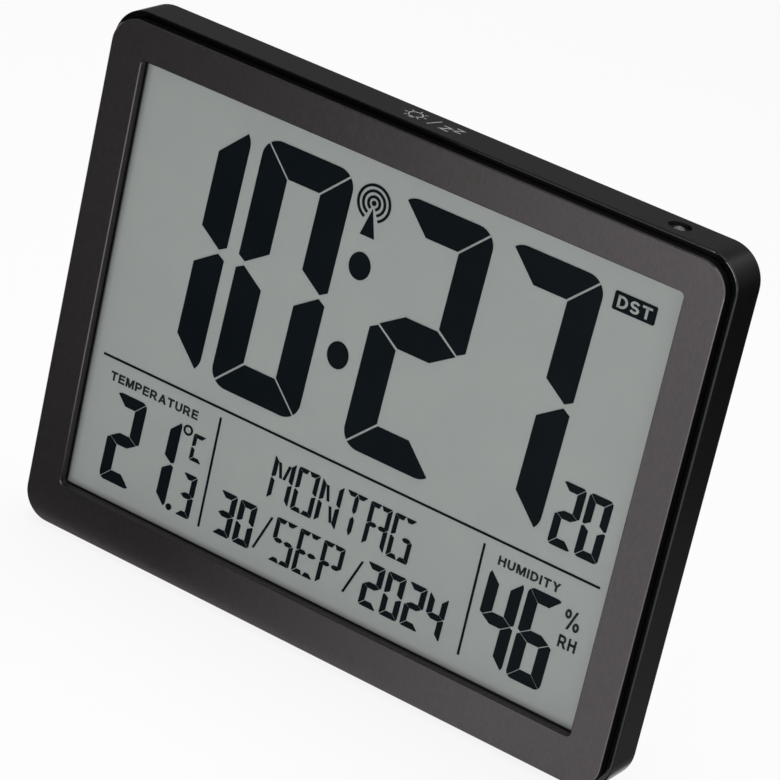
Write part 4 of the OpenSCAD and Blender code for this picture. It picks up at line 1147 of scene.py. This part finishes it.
# %% Lamps
def soft_lamp(name, place, aim, width, height, power):
    """A rectangular soft box that looks at a point."""
    lamp = bpy.data.objects.new(name, bpy.data.lights.new(name, "AREA"))
    lamp.data.shape = "RECTANGLE"
    lamp.data.size = width
    lamp.data.size_y = height
    lamp.data.energy = power
    lamp.location = place
    lamp.rotation_euler = (Vector(aim) - Vector(place)).to_track_quat("-Z", "Y").to_euler()
    bpy.context.scene.collection.objects.link(lamp)
    lamp.visible_camera = False
    print(name, power, "W")


soft_lamp("front_box", (0.05, -0.75, 0.22), (0.03, 0, 0.08), 0.5, 0.25, 2.35)
soft_lamp("top_box", (-0.1, 0.15, 1.3), (0, 0, 0.1), 0.9, 0.9, 14.0)
soft_lamp("edge_box", (0.5, -0.22, 0.03), (0.1, 0, 0.09), 0.25, 0.05, 0.08)

# %% [markdown]
# ## Cards for the reflections
#
# On a white floor, a metallic face and a black case would mirror nothing but white.
# A photographer puts dark cards where the object mirrors them. One on the floor fades from
# dark to white and makes the face fall off to the left, with one standing on the left. One
# lies behind the right side. One stands behind the clock, which the top wall mirrors, and
# one hangs above, which the upper edges mirror. Only reflections see these cards: the
# camera, the light and the shadows pass them by.

# %% Papers
ACROSS_FACE, FACE_FADE = (1.0, -0.5, 0.0), (-0.05, 0.072)
ALONG_SIDE, SIDE_FADE = (0.0, -1.0, 0.0), (-0.3, -0.03)
UP_BACK, BACK_FADE = (-0.1, 0.0, 1.0), (0.0, 0.9)


def card_paper(name, dark, light=None, direction=None, fade=None):
    """Paper that glows by a set amount, or fades from dark to light along a direction."""
    material, tree = empty_material(name)
    glow = tree.nodes.new("ShaderNodeEmission")
    glow.inputs["Color"].default_value = (dark, dark, dark, 1)
    if fade:
        place = tree.nodes.new("ShaderNodeVectorMath")
        place.operation = "DOT_PRODUCT"
        tree.links.new(tree.nodes.new("ShaderNodeTexCoord").outputs["Object"], place.inputs[0])
        place.inputs[1].default_value = direction
        ramp = tree.nodes.new("ShaderNodeMapRange")
        ramp.inputs["From Min"].default_value, ramp.inputs["From Max"].default_value = fade
        tree.links.new(place.outputs["Value"], ramp.inputs["Value"])
        shade = mix_colours(tree, ramp.outputs["Result"], (dark, dark, dark, 1), (light, light, light, 1))
        tree.links.new(shade, glow.inputs["Color"])
    tree.links.new(glow.outputs[0], tree.nodes.new("ShaderNodeOutputMaterial").inputs["Surface"])
    print(name, "glows", dark, "to", light if fade else dark)
    return material


dark_paper = card_paper("dark paper", 0.04)
face_paper = card_paper("face paper", 0.04, 1.0, ACROSS_FACE, FACE_FADE)
side_paper = card_paper("side paper", 0.015, 0.12, ALONG_SIDE, SIDE_FADE)
back_paper = card_paper("back paper", 0.03, 0.18, UP_BACK, BACK_FADE)

# %% Cards
CARD_LIFT = 0.5 * MM
CARD_TOP = 0.9
BACK_CARD_Y = 1.25


def card(name, corners, material):
    """A flat card that only reflections see."""
    mesh = bpy.data.meshes.new(name)
    mesh.from_pydata(corners, [], [(0, 1, 2, 3)])
    mesh.materials.append(material)
    sheet = bpy.data.objects.new(name, mesh)
    bpy.context.scene.collection.objects.link(sheet)
    sheet.visible_camera = False
    sheet.visible_diffuse = False
    sheet.visible_transmission = False
    sheet.visible_shadow = False
    print(name)


def level(x0, x1, y0, y1, z):
    """Corners of a level card."""
    return [(x0, y0, z), (x1, y0, z), (x1, y1, z), (x0, y1, z)]


def upright(x0, y0, x1, y1, height):
    """Corners of a card that stands on the floor."""
    return [(x0, y0, 0), (x1, y1, 0), (x1, y1, height), (x0, y0, height)]


card("face_card", level(-3.5, 0.6, -3.5, -0.02, CARD_LIFT), face_paper)
card("left_card", upright(-0.125, -0.285, -0.85, 0.116, 0.5), dark_paper)
card("side_card", level(0.113, 2.5, -0.015, 1.3, CARD_LIFT), side_paper)
card("back_card", upright(-3.0, BACK_CARD_Y, 2.5, BACK_CARD_Y, CARD_TOP), back_paper)
card("high_card", level(-3.0, 0.3, -1.6, BACK_CARD_Y, CARD_TOP), dark_paper)

# %% [markdown]
# ## Picture settings
#
# The view transform is Standard, so that colours stay as they are lit.

# %% Finish
bpy.context.scene.view_settings.view_transform = "Standard"
